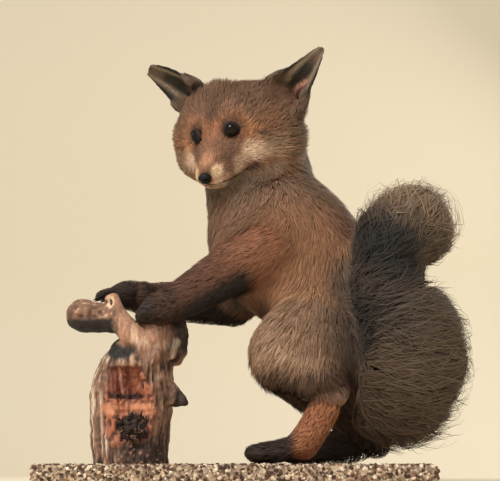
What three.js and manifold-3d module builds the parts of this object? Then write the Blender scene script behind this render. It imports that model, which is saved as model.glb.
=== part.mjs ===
// A mounted young red fox, life size: it stands on its hind feet with both forepaws on a weathered stump,
// its head turned to its left, on a rough board.
// Lengths are millimetres. +Z is up, the body faces -X and its left side is towards -Y.
// The origin is the centre of the board's underside.
import * as THREE from "three";
import { mergeVertices } from "three/addons/utils/BufferGeometryUtils.js";
import Module from "manifold-3d";

const wasm = await Module();
wasm.setup();

// ---- Sizes ------------------------------------------------------------------------------------------

// Clearance left where one piece is cut to fit round another.
const GAP = 0.3;

// Detail finer than this is dropped from the finished solids.
const SIMPLIFY = 0.26;

// How far a cutting block reaches past the solid that it trims.
const CUT_MARGIN = 5;

// Base board. Its edges wander by the sum of two waves, each with its share and its turns along one side.
const BOARD_LENGTH = 390;
const BOARD_DEPTH = 216;
const BOARD_THICKNESS = 18;
const BOARD_LONG_STEPS = 14;
const BOARD_SHORT_STEPS = 8;
const BOARD_EDGE_WANDER = 2.2;
const BOARD_EDGE_WAVES = [
  { share: 0.6, turns: 4.3, phase: 1 },
  { share: 0.4, turns: 11, phase: 2 },
];

// Stump: one row for each height, with the centre and the half widths of the bark there.
const STUMP_LEVELS = [
  { z: BOARD_THICKNESS, x: -110, y: -4, halfX: 39, halfY: 38 },
  { z: 50, x: -112, y: -4, halfX: 40, halfY: 38 },
  { z: 84, x: -111, y: -3, halfX: 44, halfY: 40 },
  { z: 110, x: -109, y: -2, halfX: 41, halfY: 39 },
  { z: 134, x: -103, y: 0, halfX: 37, halfY: 37 },
  { z: 152, x: -89, y: 1, halfX: 33, halfY: 35 },
  { z: 165, x: -84, y: 2, halfX: 27, halfY: 30 },
];
const STUMP_SIDES = 20;
const STUMP_RINGS = 8;
const STUMP_RIDGES = 7;
const STUMP_RIDGE_HEIGHT = 0.045;
const STUMP_RIDGE_SWAY = 1.6;
const STUMP_RIDGE_WAVE = 26;
const STUMP_CROWN = 5;
const HOLLOW_CENTRE = at(-106, -50, 80);
const HOLLOW_HALF = at(25, 22, 49);

// What grows from the stump. path is a limb's centre line, wide its half width across the mount at each
// point of the path, and deep its half width square to that.
const STUMP_LIMB = {
  path: [
    at(-88, -22, 130),
    at(-101, -27, 145),
    at(-117, -26, 159),
    at(-127, -23, 175),
    at(-133, -21, 192),
  ],
  wide: [15, 14, 13, 10, 8],
  deep: [15, 14, 13.5, 10, 8],
  sides: 9,
  rings: 5,
  endDome: 0.5,
};

const STUMP_KNOB = {
  path: [at(-124, -19, 166), at(-142, -14, 171), at(-158, -11, 173), at(-170, -9, 177)],
  wide: [12, 14, 17, 16],
  deep: [12, 15, 18, 17],
  sides: 12,
  rings: 4,
  endDome: 0.75,
};

const STUMP_BARK = {
  path: [at(-66, -8, 128), at(-60, -6, 150), at(-63, -2, 168)],
  wide: [14, 19, 15],
  deep: [9, 10, 8],
  sides: 10,
  rings: 3,
};

const STUMP_SPUR = {
  path: [at(-72, -14, 90), at(-61, -15, 85), at(-51, -15, 81)],
  wide: [11, 6, 1.5],
  deep: [15, 8, 1.5],
  sides: 8,
  rings: 2,
  domeRows: 1,
};

const STUMP_BURR = {
  path: [at(-120, -31, 46), at(-106, -34, 52), at(-94, -31, 58)],
  wide: [8, 11, 8],
  deep: [10, 15, 9],
  sides: 9,
  rings: 3,
};

// The fox's joints. Left is the side towards -Y.
const NECK_TOP = at(20, 30, 388);
const NECK_MIDDLE = at(32, 28, 350);
const NECK_BASE = at(26, 8, 312);
const WITHERS = at(48, 0, 263);
const MID_BACK = at(97, 0, 203);
const LOINS = at(114, 0, 143);
const RUMP = at(116, 0, 100);

const FORELEGS = {
  left: { shoulder: at(50, -40, 252), elbow: at(0, -44, 221), wrist: at(-64, -34, 184) },
  right: { shoulder: at(48, 38, 246), elbow: at(4, 44, 204), wrist: at(-98, 22, 202) },
};
const FOREPAWS = {
  left: { ball: at(-86, -31, 177), tip: at(-99, -30, 170) },
  right: { ball: at(-128, 16, 201), tip: at(-150, 13, 198) },
};
const HINDLEGS = {
  left: { hip: at(101, -42, 152), knee: at(43, -63, 121), hock: at(102, -64, 90) },
  right: { hip: at(106, 42, 150), knee: at(52, 60, 122), hock: at(160, 64, 46) },
};
const HIND_FEET = {
  left: { ball: at(67, -64, 33), tip: at(20, -64, 29) },
  right: { ball: at(66, 64, 30), tip: at(42, 64, 27) },
};

// The fox's limbs, out to the tips of the coat.
const TRUNK = {
  path: [NECK_BASE, WITHERS, MID_BACK, LOINS, RUMP],
  wide: [50, 61, 60, 58, 48],
  deep: [68, 85, 74, 61, 46],
  sides: 20,
  rings: 9,
  startDome: 0.35,
  endDome: 0.7,
};
const NECK = {
  path: [NECK_TOP, NECK_MIDDLE, NECK_BASE],
  wide: [36, 43, 50],
  deep: [50, 58, 68],
  sides: 16,
  rings: 4,
  startDome: 0.4,
  endDome: 0.8,
};
const UPPER_FORELEG = { wide: [27, 26, 23], deep: [42, 36, 31], sides: 12, rings: 3 };
const LOWER_FORELEG = { wide: [22, 20, 17], deep: [31, 27, 22], sides: 11, rings: 4 };
const THIGH = { wide: [33, 34, 27], deep: [51, 54, 44], sides: 14, rings: 3, endDome: 0.9 };
const SHANK = { wide: [21, 18, 14], deep: [24, 20, 16], sides: 12, rings: 3 };
const SHANK_SAG = 3;
const FOREPAW = { wide: [18, 19, 18], deep: [19, 19, 14], toeRadius: 6.2, toeHeight: 9 };
const HIND_FOOT = { wide: [13, 14, 16], deep: [16, 18, 17], toeRadius: 8, toeHeight: 10 };

// Toes: where each lies across the foot in toe spacings, and how far the outer two fall short.
const TOES = [-1.5, -0.5, 0.5, 1.5];
const TOE_SPACING = 9;
const TOE_ROOT_SPACING = 7.65;
const OUTER_TOE_SHORTFALL = 5.4;
const TOE_TAPER = { wide: [1, 0.92, 0.8], deep: [1, 0.95, 0.75] };
const ACROSS = at(0, 1, 0);

// Claws.
const CLAW_LENGTH = 7;
const CLAW_RADIUS = 2.3;
const CLAW_TAPER = [1, 0.75, 0.25];
const CLAW_DROP = 3;

// Tail, from its root low on the rump up beside the back to its blunt end.
const TAIL_PATH = [
  at(146, -10, 78),
  at(172, -38, 98),
  at(175, -50, 145),
  at(160, -50, 200),
  at(177, -48, 244),
  at(190, -46, 274),
];
const TAIL_RADII = [40, 57, 59, 49, 50, 45];
const TAIL_FLATTENING = 0.94;
const TAIL_JOINTS = [0, 0.36, 0.66, 1];
const TAIL_SIDES = 14;
const TAIL_RINGS = 3;
const TAIL_JOINT_DOME = 0.45;
const TAIL_ROOT_DOME = 0.6;
const TAIL_END_DOME = 0.75;

// Head frame: its origin is midway between the eyes, +X runs along the muzzle, +Y to the fox's left, +Z up.
const HEAD_ORIGIN = at(-23.5, -35.7, 374);
const HEAD_TURN = THREE.MathUtils.degToRad(32);
const HEAD_NOD = THREE.MathUtils.degToRad(45);

// One row for each section across the head: where it is along the muzzle, its half width, the heights of
// its top, its widest line and its underside, and how far it narrows towards the top.
const HEAD_SECTIONS = [
  { x: -86, half: 46, top: 16, wide: -8, bottom: -50, pinch: 0 },
  { x: -70, half: 70, top: 28, wide: -15, bottom: -74, pinch: 0.02 },
  { x: -50, half: 81, top: 33, wide: -25, bottom: -86, pinch: 0.06 },
  { x: -30, half: 83, top: 31, wide: -33, bottom: -89, pinch: 0.12 },
  { x: -14, half: 76, top: 24, wide: -39, bottom: -81, pinch: 0.28 },
  { x: -2, half: 61, top: 14, wide: -42, bottom: -68, pinch: 0.36 },
  { x: 8, half: 44, top: 4, wide: -41, bottom: -61, pinch: 0.33 },
  { x: 20, half: 30, top: -5, wide: -37, bottom: -51, pinch: 0.26 },
  { x: 34, half: 21, top: -12, wide: -32, bottom: -44, pinch: 0.2 },
  { x: 46, half: 16, top: -18, wide: -30, bottom: -39, pinch: 0.14 },
  { x: 53, half: 10, top: -22, wide: -30, bottom: -37, pinch: 0 },
];
const HEAD_SIDES = 18;
const HEAD_RINGS = 12;
const JAW_SECTIONS = [
  { x: -30, half: 52, top: -58, wide: -72, bottom: -90, pinch: 0 },
  { x: -8, half: 52, top: -50, wide: -64, bottom: -82, pinch: 0 },
  { x: 12, half: 38, top: -43, wide: -55, bottom: -67, pinch: 0 },
  { x: 32, half: 22, top: -37, wide: -46, bottom: -55, pinch: 0 },
  { x: 48, half: 10, top: -34, wide: -39, bottom: -45, pinch: 0 },
];
const JAW_SIDES = 12;
const JAW_RINGS = 6;

// A section's corners are this full: 1 is an ellipse, less is squarer.
const SECTION_FULLNESS = 0.82;

const EYE_RADIUS = 9.6;
const EYE_CENTRE = at(-1.5, 21.5, -2);
const NOSE_CENTRE = at(53.5, 0, -28);
const NOSE_HALF = at(5.5, 7.4, 6.6);

// Ears, in the head frame. Each is as wide as its half width times the shares listed from root to tip; the
// far one dried with a blunt, crumpled end.
const EARS = {
  left: {
    root: at(-62, 64, -3),
    tip: at(-82, 118, 36),
    facing: at(0.72, 0.1, 0.35),
    halfWidth: 25,
    widths: [1.1, 0.88, 0.66, 0.45, 0.18],
    fold: 0,
  },
  right: {
    root: at(-58, -46, 24),
    tip: at(-75, -87, 66),
    facing: at(0.8, -0.15, 0.1),
    halfWidth: 20,
    widths: [1.15, 1.1, 0.98, 0.8, 0.45],
    fold: 13,
  },
};

// Along an ear from root to tip: the half angle in degrees that its leaf curls through, and its share of the
// thickness.
const EAR_CURLS = [105, 80, 55, 38, 25];
const EAR_THICKNESSES = [1.7, 1.2, 1, 0.95, 0.9];
const EAR_THICKNESS = 4;
const EAR_ROWS = 6;
const EAR_COLUMNS = 6;

// ---- Geometry helpers -------------------------------------------------------------------------------

function at(x, y, z) {
  return new THREE.Vector3(x, y, z);
}

// A smooth value between evenly spaced entries of a list, t from 0 to 1.
function between(values, t) {
  const last = values.length - 1;
  const place = Math.min(Math.max(t, 0), 1) * last;
  const i = Math.min(Math.floor(place), last - 1);
  const s = place - i;
  const [a, b] = [values[i], values[i + 1]];
  const before = values[Math.max(i - 1, 0)];
  const after = values[Math.min(i + 2, last)];
  const slopeA = (b - before) / (i > 0 ? 2 : 1);
  const slopeB = (after - a) / (i + 2 <= last ? 2 : 1);
  const s2 = s * s;
  const s3 = s2 * s;
  const bend = (s3 - 2 * s2 + s) * slopeA + (s3 - s2) * slopeB;
  return (2 * s3 - 3 * s2 + 1) * a + (3 * s2 - 2 * s3) * b + bend;
}

// A closed surface through rings of equally many points, with a fan to a point at each end.
function skin(rings, startPoint, endPoint) {
  const sides = rings[0].length;
  const points = [startPoint, ...rings.flat(), endPoint];
  const end = points.length - 1;
  const faces = [];
  for (let j = 0; j < sides; j++) {
    const next = (j + 1) % sides;
    faces.push(0, 1 + next, 1 + j);
    for (let i = 0; i < rings.length - 1; i++) {
      const here = 1 + i * sides;
      const there = here + sides;
      faces.push(here + j, here + next, there + j, here + next, there + next, there + j);
    }
    const top = 1 + (rings.length - 1) * sides;
    faces.push(end, top + j, top + next);
  }
  const geometry = new THREE.BufferGeometry().setFromPoints(points);
  geometry.setIndex(faces);
  return solidFrom(geometry);
}

// The manifold solid of a closed geometry, turned so that its faces point outwards.
function solidFrom(geometry) {
  const plain = geometry.clone();
  plain.deleteAttribute("normal");
  plain.deleteAttribute("uv");
  const merged = mergeVertices(plain, 1e-3);
  const triVerts = new Uint32Array(merged.index.array);
  const vertProperties = merged.attributes.position.array;
  const build = () => new wasm.Manifold(new wasm.Mesh({ numProp: 3, vertProperties, triVerts }));
  const made = build();
  if (made.volume() > 0) return made;
  for (let i = 0; i < triVerts.length; i += 3) {
    [triVerts[i + 1], triVerts[i + 2]] = [triVerts[i + 2], triVerts[i + 1]];
  }
  return build();
}

// A limb: a tube along a smooth path with an oval section and a dome at each end.
// wide lists the half width along the side direction at each point of the path, deep the half width
// square to it, and grow makes the whole limb fatter.
function limb(shape, grow = 0) {
  const { path, wide, deep = wide, side = ACROSS, sides = 16, rings = 7 } = shape;
  const { startDome = 0.8, endDome = 0.8, domeRows = 2, from = 0, to = 1 } = shape;
  const curve = new THREE.CatmullRomCurve3(path, false, "centripetal");
  const ring = (t, push, scale) => {
    const tangent = curve.getTangent(t);
    const across = new THREE.Vector3().crossVectors(tangent, side).normalize();
    const sideways = new THREE.Vector3().crossVectors(across, tangent).normalize();
    const centre = curve.getPoint(t).addScaledVector(tangent, push);
    const points = [];
    for (let j = 0; j < sides; j++) {
      const angle = (j / sides) * 2 * Math.PI;
      points.push(
        centre
          .clone()
          .addScaledVector(sideways, (between(wide, t) + grow) * scale * Math.cos(angle))
          .addScaledVector(across, (between(deep, t) + grow) * scale * Math.sin(angle)),
      );
    }
    return points;
  };
  const reach = (t, dome) => (Math.min(between(wide, t), between(deep, t)) + grow) * dome;
  const startReach = reach(from, startDome);
  const endReach = reach(to, endDome);
  const loops = [];
  for (let k = 1; k <= domeRows; k++) {
    const angle = (k / (domeRows + 1)) * (Math.PI / 2);
    loops.push(ring(from, -startReach * Math.cos(angle), Math.sin(angle)));
  }
  for (let i = 0; i <= rings; i++) {
    loops.push(ring(from + ((to - from) * i) / rings, 0, 1));
  }
  for (let k = domeRows; k >= 1; k--) {
    const angle = (k / (domeRows + 1)) * (Math.PI / 2);
    loops.push(ring(to, endReach * Math.cos(angle), Math.sin(angle)));
  }
  const startPoint = curve.getPoint(from).addScaledVector(curve.getTangent(from), -startReach);
  const endPoint = curve.getPoint(to).addScaledVector(curve.getTangent(to), endReach);
  return skin(loops, startPoint, endPoint);
}

// A sine or cosine pushed outwards, so that an oval drawn with it has fuller corners.
function squared(value) {
  return Math.sign(value) * Math.abs(value) ** SECTION_FULLNESS;
}

// A long solid from sections across the head frame's X axis, each wider at its own height.
function sectioned(sections, sides, rings, grow = 0) {
  const column = (key) => sections.map((section) => section[key]);
  const loops = [];
  for (let i = 0; i <= rings; i++) {
    const t = i / rings;
    const half = between(column("half"), t) + grow;
    const wide = between(column("wide"), t);
    const top = between(column("top"), t) + grow;
    const bottom = between(column("bottom"), t) - grow;
    const pinch = between(column("pinch"), t);
    const points = [];
    for (let j = 0; j < sides; j++) {
      const angle = (j / sides) * 2 * Math.PI;
      const rise = squared(Math.sin(angle));
      const height = rise > 0 ? top - wide : wide - bottom;
      const narrowing = 1 - pinch * Math.max(rise, 0);
      const y = half * narrowing * squared(Math.cos(angle));
      points.push(at(between(column("x"), t), y, wide + height * rise));
    }
    loops.push(points);
  }
  const pole = (section, push) => at(section.x + push, 0, (section.top + section.bottom) / 2);
  const [first, last] = [sections[0], sections[sections.length - 1]];
  return skin(loops, pole(first, -first.half / 3 - grow), pole(last, last.half / 3 + grow));
}

// A ball squashed to the given half sizes.
function ball(centre, half, columns = 16, rows = 10, grow = 0) {
  const geometry = new THREE.SphereGeometry(1, columns, rows);
  geometry.scale(half.x + grow, half.y + grow, half.z + grow);
  geometry.translate(centre.x, centre.y, centre.z);
  return solidFrom(geometry);
}

// An ear: a leaf curled round its long axis, open towards the facing direction.
function ear({ root, tip, facing, halfWidth, widths, fold }, grow = 0) {
  const axis = tip.clone().sub(root);
  const length = axis.length() + grow;
  axis.normalize();
  const front = facing.clone().addScaledVector(axis, -facing.dot(axis)).normalize();
  const side = new THREE.Vector3().crossVectors(axis, front).normalize();
  const loops = [];
  for (let i = 0; i <= EAR_ROWS; i++) {
    const t = i / EAR_ROWS;
    const half = halfWidth * between(widths, t) + grow;
    const curl = THREE.MathUtils.degToRad(between(EAR_CURLS, t));
    const radius = half / Math.sin(Math.min(curl, Math.PI / 2));
    const thickness = EAR_THICKNESS * between(EAR_THICKNESSES, t) + 2 * grow;
    const sagitta = radius * (1 - Math.cos(curl));
    const centre = root.clone().addScaledVector(axis, length * t);
    centre.addScaledVector(front, fold * t * t - sagitta / 2);
    const arc = (v, out) => {
      const angle = v * curl;
      const reach = radius + out;
      return centre
        .clone()
        .addScaledVector(side, reach * Math.sin(angle))
        .addScaledVector(front, radius - reach * Math.cos(angle));
    };
    const outside = [];
    const inside = [];
    for (let j = 0; j <= EAR_COLUMNS; j++) {
      const v = (2 * j) / EAR_COLUMNS - 1;
      outside.push(arc(v, thickness / 2));
      inside.unshift(arc(v, -thickness / 2));
    }
    loops.push([...outside, ...inside]);
  }
  const middle = (points) =>
    points.reduce((sum, point) => sum.add(point), at(0, 0, 0)).divideScalar(points.length);
  const endPoint = middle(loops[EAR_ROWS]).addScaledVector(axis, EAR_THICKNESS);
  return skin(loops, middle(loops[0]).addScaledVector(axis, -1), endPoint);
}

// The toes of a foot, spread evenly across it, with the middle two reaching further.
function toesOf({ ball: start, tip }) {
  const forward = tip.clone().sub(start).normalize();
  return TOES.map((place) => {
    const base = start.clone().addScaledVector(ACROSS, place * TOE_ROOT_SPACING);
    const end = tip.clone().addScaledVector(ACROSS, place * TOE_SPACING);
    end.addScaledVector(forward, Math.abs(place) > 1 ? -OUTER_TOE_SHORTFALL : 0);
    return { base, end, forward };
  });
}

// A foot: the long bones from the joint above to the ball, and four toes.
function foot(shape, grow = 0) {
  const { path, wide, deep, toeRadius, toeHeight } = shape;
  const body = limb({ path, wide, deep, sides: 8, rings: 2, domeRows: 1 }, grow);
  const toe = {
    wide: TOE_TAPER.wide.map((share) => share * toeRadius),
    deep: TOE_TAPER.deep.map((share) => share * toeHeight),
    sides: 5,
    rings: 1,
    domeRows: 1,
  };
  const toes = toesOf(shape).map(({ base, end }) => limb(straight(toe, base, end), grow));
  return toes.reduce((all, each) => all.add(each), body);
}

// A claw: a short cone from the toe's end, curving down.
function claw({ end, forward }, grow = 0) {
  const point = end.clone().addScaledVector(forward, CLAW_LENGTH);
  const middle = end.clone().lerp(point, 0.6);
  point.z -= CLAW_DROP;
  const wide = CLAW_TAPER.map((share) => share * CLAW_RADIUS);
  return limb({ path: [end, middle, point], wide, sides: 4, rings: 1, domeRows: 0 }, grow);
}

// Everything at or above a height.
function above(solid, z) {
  const { min, max } = solid.boundingBox();
  const depth = Math.max(z - min[2], 0) + CUT_MARGIN;
  const width = (axis) => max[axis] - min[axis] + 2 * CUT_MARGIN;
  const middle = (axis) => (max[axis] + min[axis]) / 2;
  const block = new THREE.BoxGeometry(width(0), width(1), depth);
  block.translate(middle(0), middle(1), z - depth / 2);
  return solid.subtract(solidFrom(block));
}

// ---- Mount ------------------------------------------------------------------------------------------

// How far a board's edge strays outwards at a share s of the way along one side.
function edgeWander(s, side) {
  const wave = ({ share, turns, phase }) => share * Math.sin(2 * Math.PI * turns * s + phase * (side + 1));
  return BOARD_EDGE_WANDER * BOARD_EDGE_WAVES.reduce((sum, each) => sum + wave(each), 0);
}

// The board: straight sides that wander a little, as split and chipped edges do.
function board() {
  const [halfX, halfY] = [BOARD_LENGTH / 2, BOARD_DEPTH / 2];
  const corners = [at(-halfX, -halfY, 0), at(halfX, -halfY, 0), at(halfX, halfY, 0), at(-halfX, halfY, 0)];
  const outline = corners.flatMap((corner, side) => {
    const next = corners[(side + 1) % corners.length];
    const alongX = side % 2 === 0;
    const steps = alongX ? BOARD_LONG_STEPS : BOARD_SHORT_STEPS;
    return Array.from({ length: steps }, (_, k) => {
      const point = corner.clone().lerp(next, k / steps);
      const stray = edgeWander(k / steps, side);
      return new THREE.Vector2(point.x + (alongX ? 0 : stray), point.y + (alongX ? stray : 0));
    });
  });
  const shape = new THREE.Shape(outline);
  return solidFrom(new THREE.ExtrudeGeometry(shape, { depth: BOARD_THICKNESS, bevelEnabled: false }));
}

// The stump: an upright trunk of wood with ridged bark, and a hollow worn into its front.
function stump(grow = 0) {
  const column = (key) => STUMP_LEVELS.map((level) => level[key]);
  const loops = [];
  for (let i = 0; i <= STUMP_RINGS; i++) {
    const t = i / STUMP_RINGS;
    const z = between(column("z"), t);
    const points = [];
    for (let j = 0; j < STUMP_SIDES; j++) {
      const angle = (j / STUMP_SIDES) * 2 * Math.PI;
      const sway = STUMP_RIDGE_SWAY * Math.sin(z / STUMP_RIDGE_WAVE);
      const ridge = 1 + STUMP_RIDGE_HEIGHT * Math.sin(STUMP_RIDGES * angle + sway);
      const x = between(column("x"), t) + (between(column("halfX"), t) * ridge + grow) * Math.cos(angle);
      const y = between(column("y"), t) + (between(column("halfY"), t) * ridge + grow) * Math.sin(angle);
      points.push(at(x, y, z));
    }
    loops.push(points);
  }
  const [first, last] = [STUMP_LEVELS[0], STUMP_LEVELS[STUMP_LEVELS.length - 1]];
  const whole = skin(loops, at(first.x, first.y, first.z), at(last.x, last.y, last.z + STUMP_CROWN + grow));
  return whole.subtract(ball(HOLLOW_CENTRE, HOLLOW_HALF, 10, 8, -grow));
}

// ---- Fox --------------------------------------------------------------------------------------------

// A limb that runs straight from one joint to the next.
function straight(shape, start, end) {
  return { ...shape, path: [start, start.clone().lerp(end, 0.5), end] };
}

// The shank sags a little under the bone's line.
function shank({ knee, hock }) {
  const shape = straight(SHANK, knee, hock);
  shape.path[1].z -= SHANK_SAG;
  return shape;
}

function paw(shape, joint, { ball: knuckles, tip }) {
  return { ...straight(shape, joint, knuckles), ball: knuckles, tip };
}

// One length of the tail, between two shares of the way along it.
function tailLength(from, to) {
  return {
    path: TAIL_PATH,
    wide: TAIL_RADII.map((radius) => radius * TAIL_FLATTENING),
    deep: TAIL_RADII,
    sides: TAIL_SIDES,
    rings: TAIL_RINGS,
    from,
    to,
    startDome: from > 0 ? TAIL_JOINT_DOME : TAIL_ROOT_DOME,
    endDome: to < 1 ? TAIL_JOINT_DOME : TAIL_END_DOME,
  };
}

// ---- Assembly ---------------------------------------------------------------------------------------

const MATERIALS = {
  fur_red: { color: 0x80573c, roughness: 0.95, metalness: 0 },
  fur_grey: { color: 0x63513f, roughness: 0.95, metalness: 0 },
  fur_black: { color: 0x33291f, roughness: 0.9, metalness: 0 },
  fur_pale: { color: 0xa88a6c, roughness: 0.95, metalness: 0 },
  eye_glass: { color: 0x0b0908, roughness: 0.05, metalness: 0 },
  nose_black: { color: 0x14110f, roughness: 0.45, metalness: 0 },
  claw_horn: { color: 0x6b5a48, roughness: 0.5, metalness: 0 },
  wood_weathered: { color: 0x8a6a50, roughness: 0.9, metalness: 0 },
  wood_smooth: { color: 0x946f58, roughness: 0.7, metalness: 0 },
  bark_dark: { color: 0x33291f, roughness: 0.95, metalness: 0 },
  board_rough: { color: 0x8e715e, roughness: 0.9, metalness: 0 },
};

const group = new THREE.Group();
group.name = "mounted_fox";

const headGroup = new THREE.Group();
headGroup.name = "head_frame";
headGroup.position.copy(HEAD_ORIGIN);
headGroup.rotation.set(0, HEAD_NOD, -Math.PI / 2 - HEAD_TURN, "ZYX");
headGroup.updateMatrixWorld(true);
group.add(headGroup);

const headMatrix = headGroup.matrixWorld.clone();
const headInverse = headMatrix.clone().invert();

// Each piece already in place, a little fatter than it is, for the later pieces to be cut by.
const placed = [];

// Adds a node: its solid, less every piece placed before it, hung from the joint it grows from.
function place(name, material, pivot, shapeOf, parent = group) {
  const trimmed = placed.reduce((solid, other) => solid.subtract(other), shapeOf(0));
  const [largest] = trimmed.decompose().sort((a, b) => b.volume() - a.volume());
  if (!largest) throw new Error(name + " is hidden inside its neighbours");
  placed.push(shapeOf(GAP));

  const made = largest.simplify(SIMPLIFY).getMesh();
  const geometry = new THREE.BufferGeometry();
  geometry.setAttribute("position", new THREE.BufferAttribute(Float32Array.from(made.vertProperties), 3));
  geometry.setIndex(new THREE.BufferAttribute(Uint32Array.from(made.triVerts), 1));
  if (parent === headGroup) geometry.applyMatrix4(headInverse);
  geometry.translate(-pivot.x, -pivot.y, -pivot.z);
  geometry.computeVertexNormals();
  const mesh = new THREE.Mesh(geometry, new THREE.MeshStandardMaterial(MATERIALS[material]));
  mesh.name = name;
  mesh.position.copy(pivot);
  parent.add(mesh);
}

const ORIGIN = at(0, 0, 0);
const SIDES = { left: 1, right: -1 };
const ofLimb = (shape) => (grow) => limb(shape, grow);
const onBoard = (shapeOf) => (grow) => above(shapeOf(grow), BOARD_THICKNESS);
const ofHead = (shapeOf) => (grow) => shapeOf(grow).transform(headMatrix.elements);

// Mount.
const stumpFoot = at(STUMP_LEVELS[0].x, STUMP_LEVELS[0].y, BOARD_THICKNESS);
place("base_board", "board_rough", ORIGIN, () => board());
place("stump", "wood_weathered", stumpFoot, stump);
place("stump_burr", "bark_dark", STUMP_BURR.path[0], ofLimb(STUMP_BURR));
place("stump_limb", "wood_smooth", STUMP_LIMB.path[0], ofLimb(STUMP_LIMB));
place("stump_knob", "wood_weathered", STUMP_KNOB.path[0], ofLimb(STUMP_KNOB));
place("stump_bark", "bark_dark", STUMP_BARK.path[0], ofLimb(STUMP_BARK));
place("stump_spur", "wood_weathered", STUMP_SPUR.path[0], ofLimb(STUMP_SPUR));

// Eyes and nose.
for (const [side, sign] of Object.entries(SIDES)) {
  const middle = at(EYE_CENTRE.x, sign * EYE_CENTRE.y, EYE_CENTRE.z);
  const size = at(EYE_RADIUS, EYE_RADIUS, EYE_RADIUS);
  const eyeball = ofHead((grow) => ball(middle, size, 10, 7, grow));
  place("eye_" + side, "eye_glass", middle, eyeball, headGroup);
}
const noseShape = ofHead((grow) => ball(NOSE_CENTRE, NOSE_HALF, 10, 6, grow));
place("nose", "nose_black", NOSE_CENTRE, noseShape, headGroup);

// Claws.
for (const side of Object.keys(SIDES)) {
  const feet = {
    forepaw: paw(FOREPAW, FORELEGS[side].wrist, FOREPAWS[side]),
    hindfoot: paw(HIND_FOOT, HINDLEGS[side].hock, HIND_FEET[side]),
  };
  for (const [kind, shape] of Object.entries(feet)) {
    toesOf(shape).forEach((toe, i) => {
      const name = ["claw", kind, side, i + 1].join("_");
      place(name, "claw_horn", toe.end, onBoard((grow) => claw(toe, grow)));
    });
  }
}

// Head, neck and trunk.
const headShape = ofHead((grow) => sectioned(HEAD_SECTIONS, HEAD_SIDES, HEAD_RINGS, grow));
place("head", "fur_red", ORIGIN, headShape, headGroup);
const jawShape = ofHead((grow) => sectioned(JAW_SECTIONS, JAW_SIDES, JAW_RINGS, grow));
place("jaw", "fur_pale", ORIGIN, jawShape, headGroup);
place("neck", "fur_grey", NECK_BASE, ofLimb(NECK));
place("trunk", "fur_red", WITHERS, ofLimb(TRUNK));
for (const side of Object.keys(SIDES)) {
  const earShape = ofHead((grow) => ear(EARS[side], grow));
  place("ear_" + side, "fur_black", EARS[side].root, earShape, headGroup);
}

// Legs.
for (const side of Object.keys(SIDES)) {
  const { hip, knee, hock } = HINDLEGS[side];
  const { shoulder, elbow, wrist } = FORELEGS[side];
  const sole = paw(HIND_FOOT, hock, HIND_FEET[side]);
  const hand = paw(FOREPAW, wrist, FOREPAWS[side]);
  place("thigh_" + side, "fur_red", hip, ofLimb(straight(THIGH, hip, knee)));
  place("shank_" + side, "fur_red", knee, onBoard(ofLimb(shank({ knee, hock }))));
  place("hind_foot_" + side, "fur_black", hock, onBoard((grow) => foot(sole, grow)));
  place("foreleg_upper_" + side, "fur_red", shoulder, ofLimb(straight(UPPER_FORELEG, shoulder, elbow)));
  place("foreleg_lower_" + side, "fur_red", elbow, ofLimb(straight(LOWER_FORELEG, elbow, wrist)));
  place("forepaw_" + side, "fur_black", wrist, (grow) => foot(hand, grow));
}

// Tail.
["tail_base", "tail_middle", "tail_tip"].forEach((name, i) => {
  const length = tailLength(TAIL_JOINTS[i], TAIL_JOINTS[i + 1]);
  const pivot = TAIL_PATH[Math.round(TAIL_JOINTS[i] * (TAIL_PATH.length - 1))];
  place(name, "fur_grey", pivot, onBoard(ofLimb(length)));
});

export default group;
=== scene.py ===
# %% [markdown]
# # A mounted red fox on its stump
# A taxidermist's young red fox crouches on its hind legs, with its forepaws on a weathered stump and its
# face turned to the visitor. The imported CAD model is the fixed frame: it gives every place and size. This
# notebook covers that frame with skin, coat, glass eyes, horn and wood.

# %% The fixed frame and the tools
import math

import bpy
import numpy as np
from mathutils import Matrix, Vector
from mathutils.bvhtree import BVHTree
from mathutils.kdtree import KDTree


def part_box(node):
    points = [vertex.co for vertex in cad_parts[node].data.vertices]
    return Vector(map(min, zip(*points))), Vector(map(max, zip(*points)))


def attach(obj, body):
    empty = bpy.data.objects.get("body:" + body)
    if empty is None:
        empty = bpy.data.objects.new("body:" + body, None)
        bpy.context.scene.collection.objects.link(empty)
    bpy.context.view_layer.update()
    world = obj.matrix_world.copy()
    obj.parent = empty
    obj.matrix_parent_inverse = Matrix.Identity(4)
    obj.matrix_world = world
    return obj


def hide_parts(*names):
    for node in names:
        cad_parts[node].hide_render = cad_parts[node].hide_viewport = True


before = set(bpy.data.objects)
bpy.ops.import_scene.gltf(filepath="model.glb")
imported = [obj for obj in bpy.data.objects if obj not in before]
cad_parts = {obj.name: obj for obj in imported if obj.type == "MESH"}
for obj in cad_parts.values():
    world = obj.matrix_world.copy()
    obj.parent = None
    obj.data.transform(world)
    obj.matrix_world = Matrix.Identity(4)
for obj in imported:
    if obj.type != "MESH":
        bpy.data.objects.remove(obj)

bpy.context.view_layer.update()
MM = 0.001

# %% [markdown]
# ## Camera, floor and light
# The mount stands above eye level, so the camera sits just above the floor and tips up. A long lens keeps
# the proportions calm. The floor sweeps up into a pale backdrop, which is how a studio hides the corner
# between floor and wall. One large soft lamp up on the left is the key, and a weak sky fills the shadows.

# %% Camera
CAMERA_PLACE = (0.0155, -1.08, 0.0108)
CAMERA_TILT = math.radians(12.99)
CAMERA_LENS = 72.0

camera = bpy.data.objects.new("camera", bpy.data.cameras.new("camera"))
bpy.context.scene.collection.objects.link(camera)
camera.data.lens = CAMERA_LENS
camera.data.sensor_width = 36.0
camera.location = CAMERA_PLACE
camera.rotation_euler = (math.pi / 2 + CAMERA_TILT, 0, 0)
camera.data.clip_start = 0.01
bpy.context.scene.camera = camera
bpy.context.scene.view_settings.view_transform = "Standard"

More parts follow.
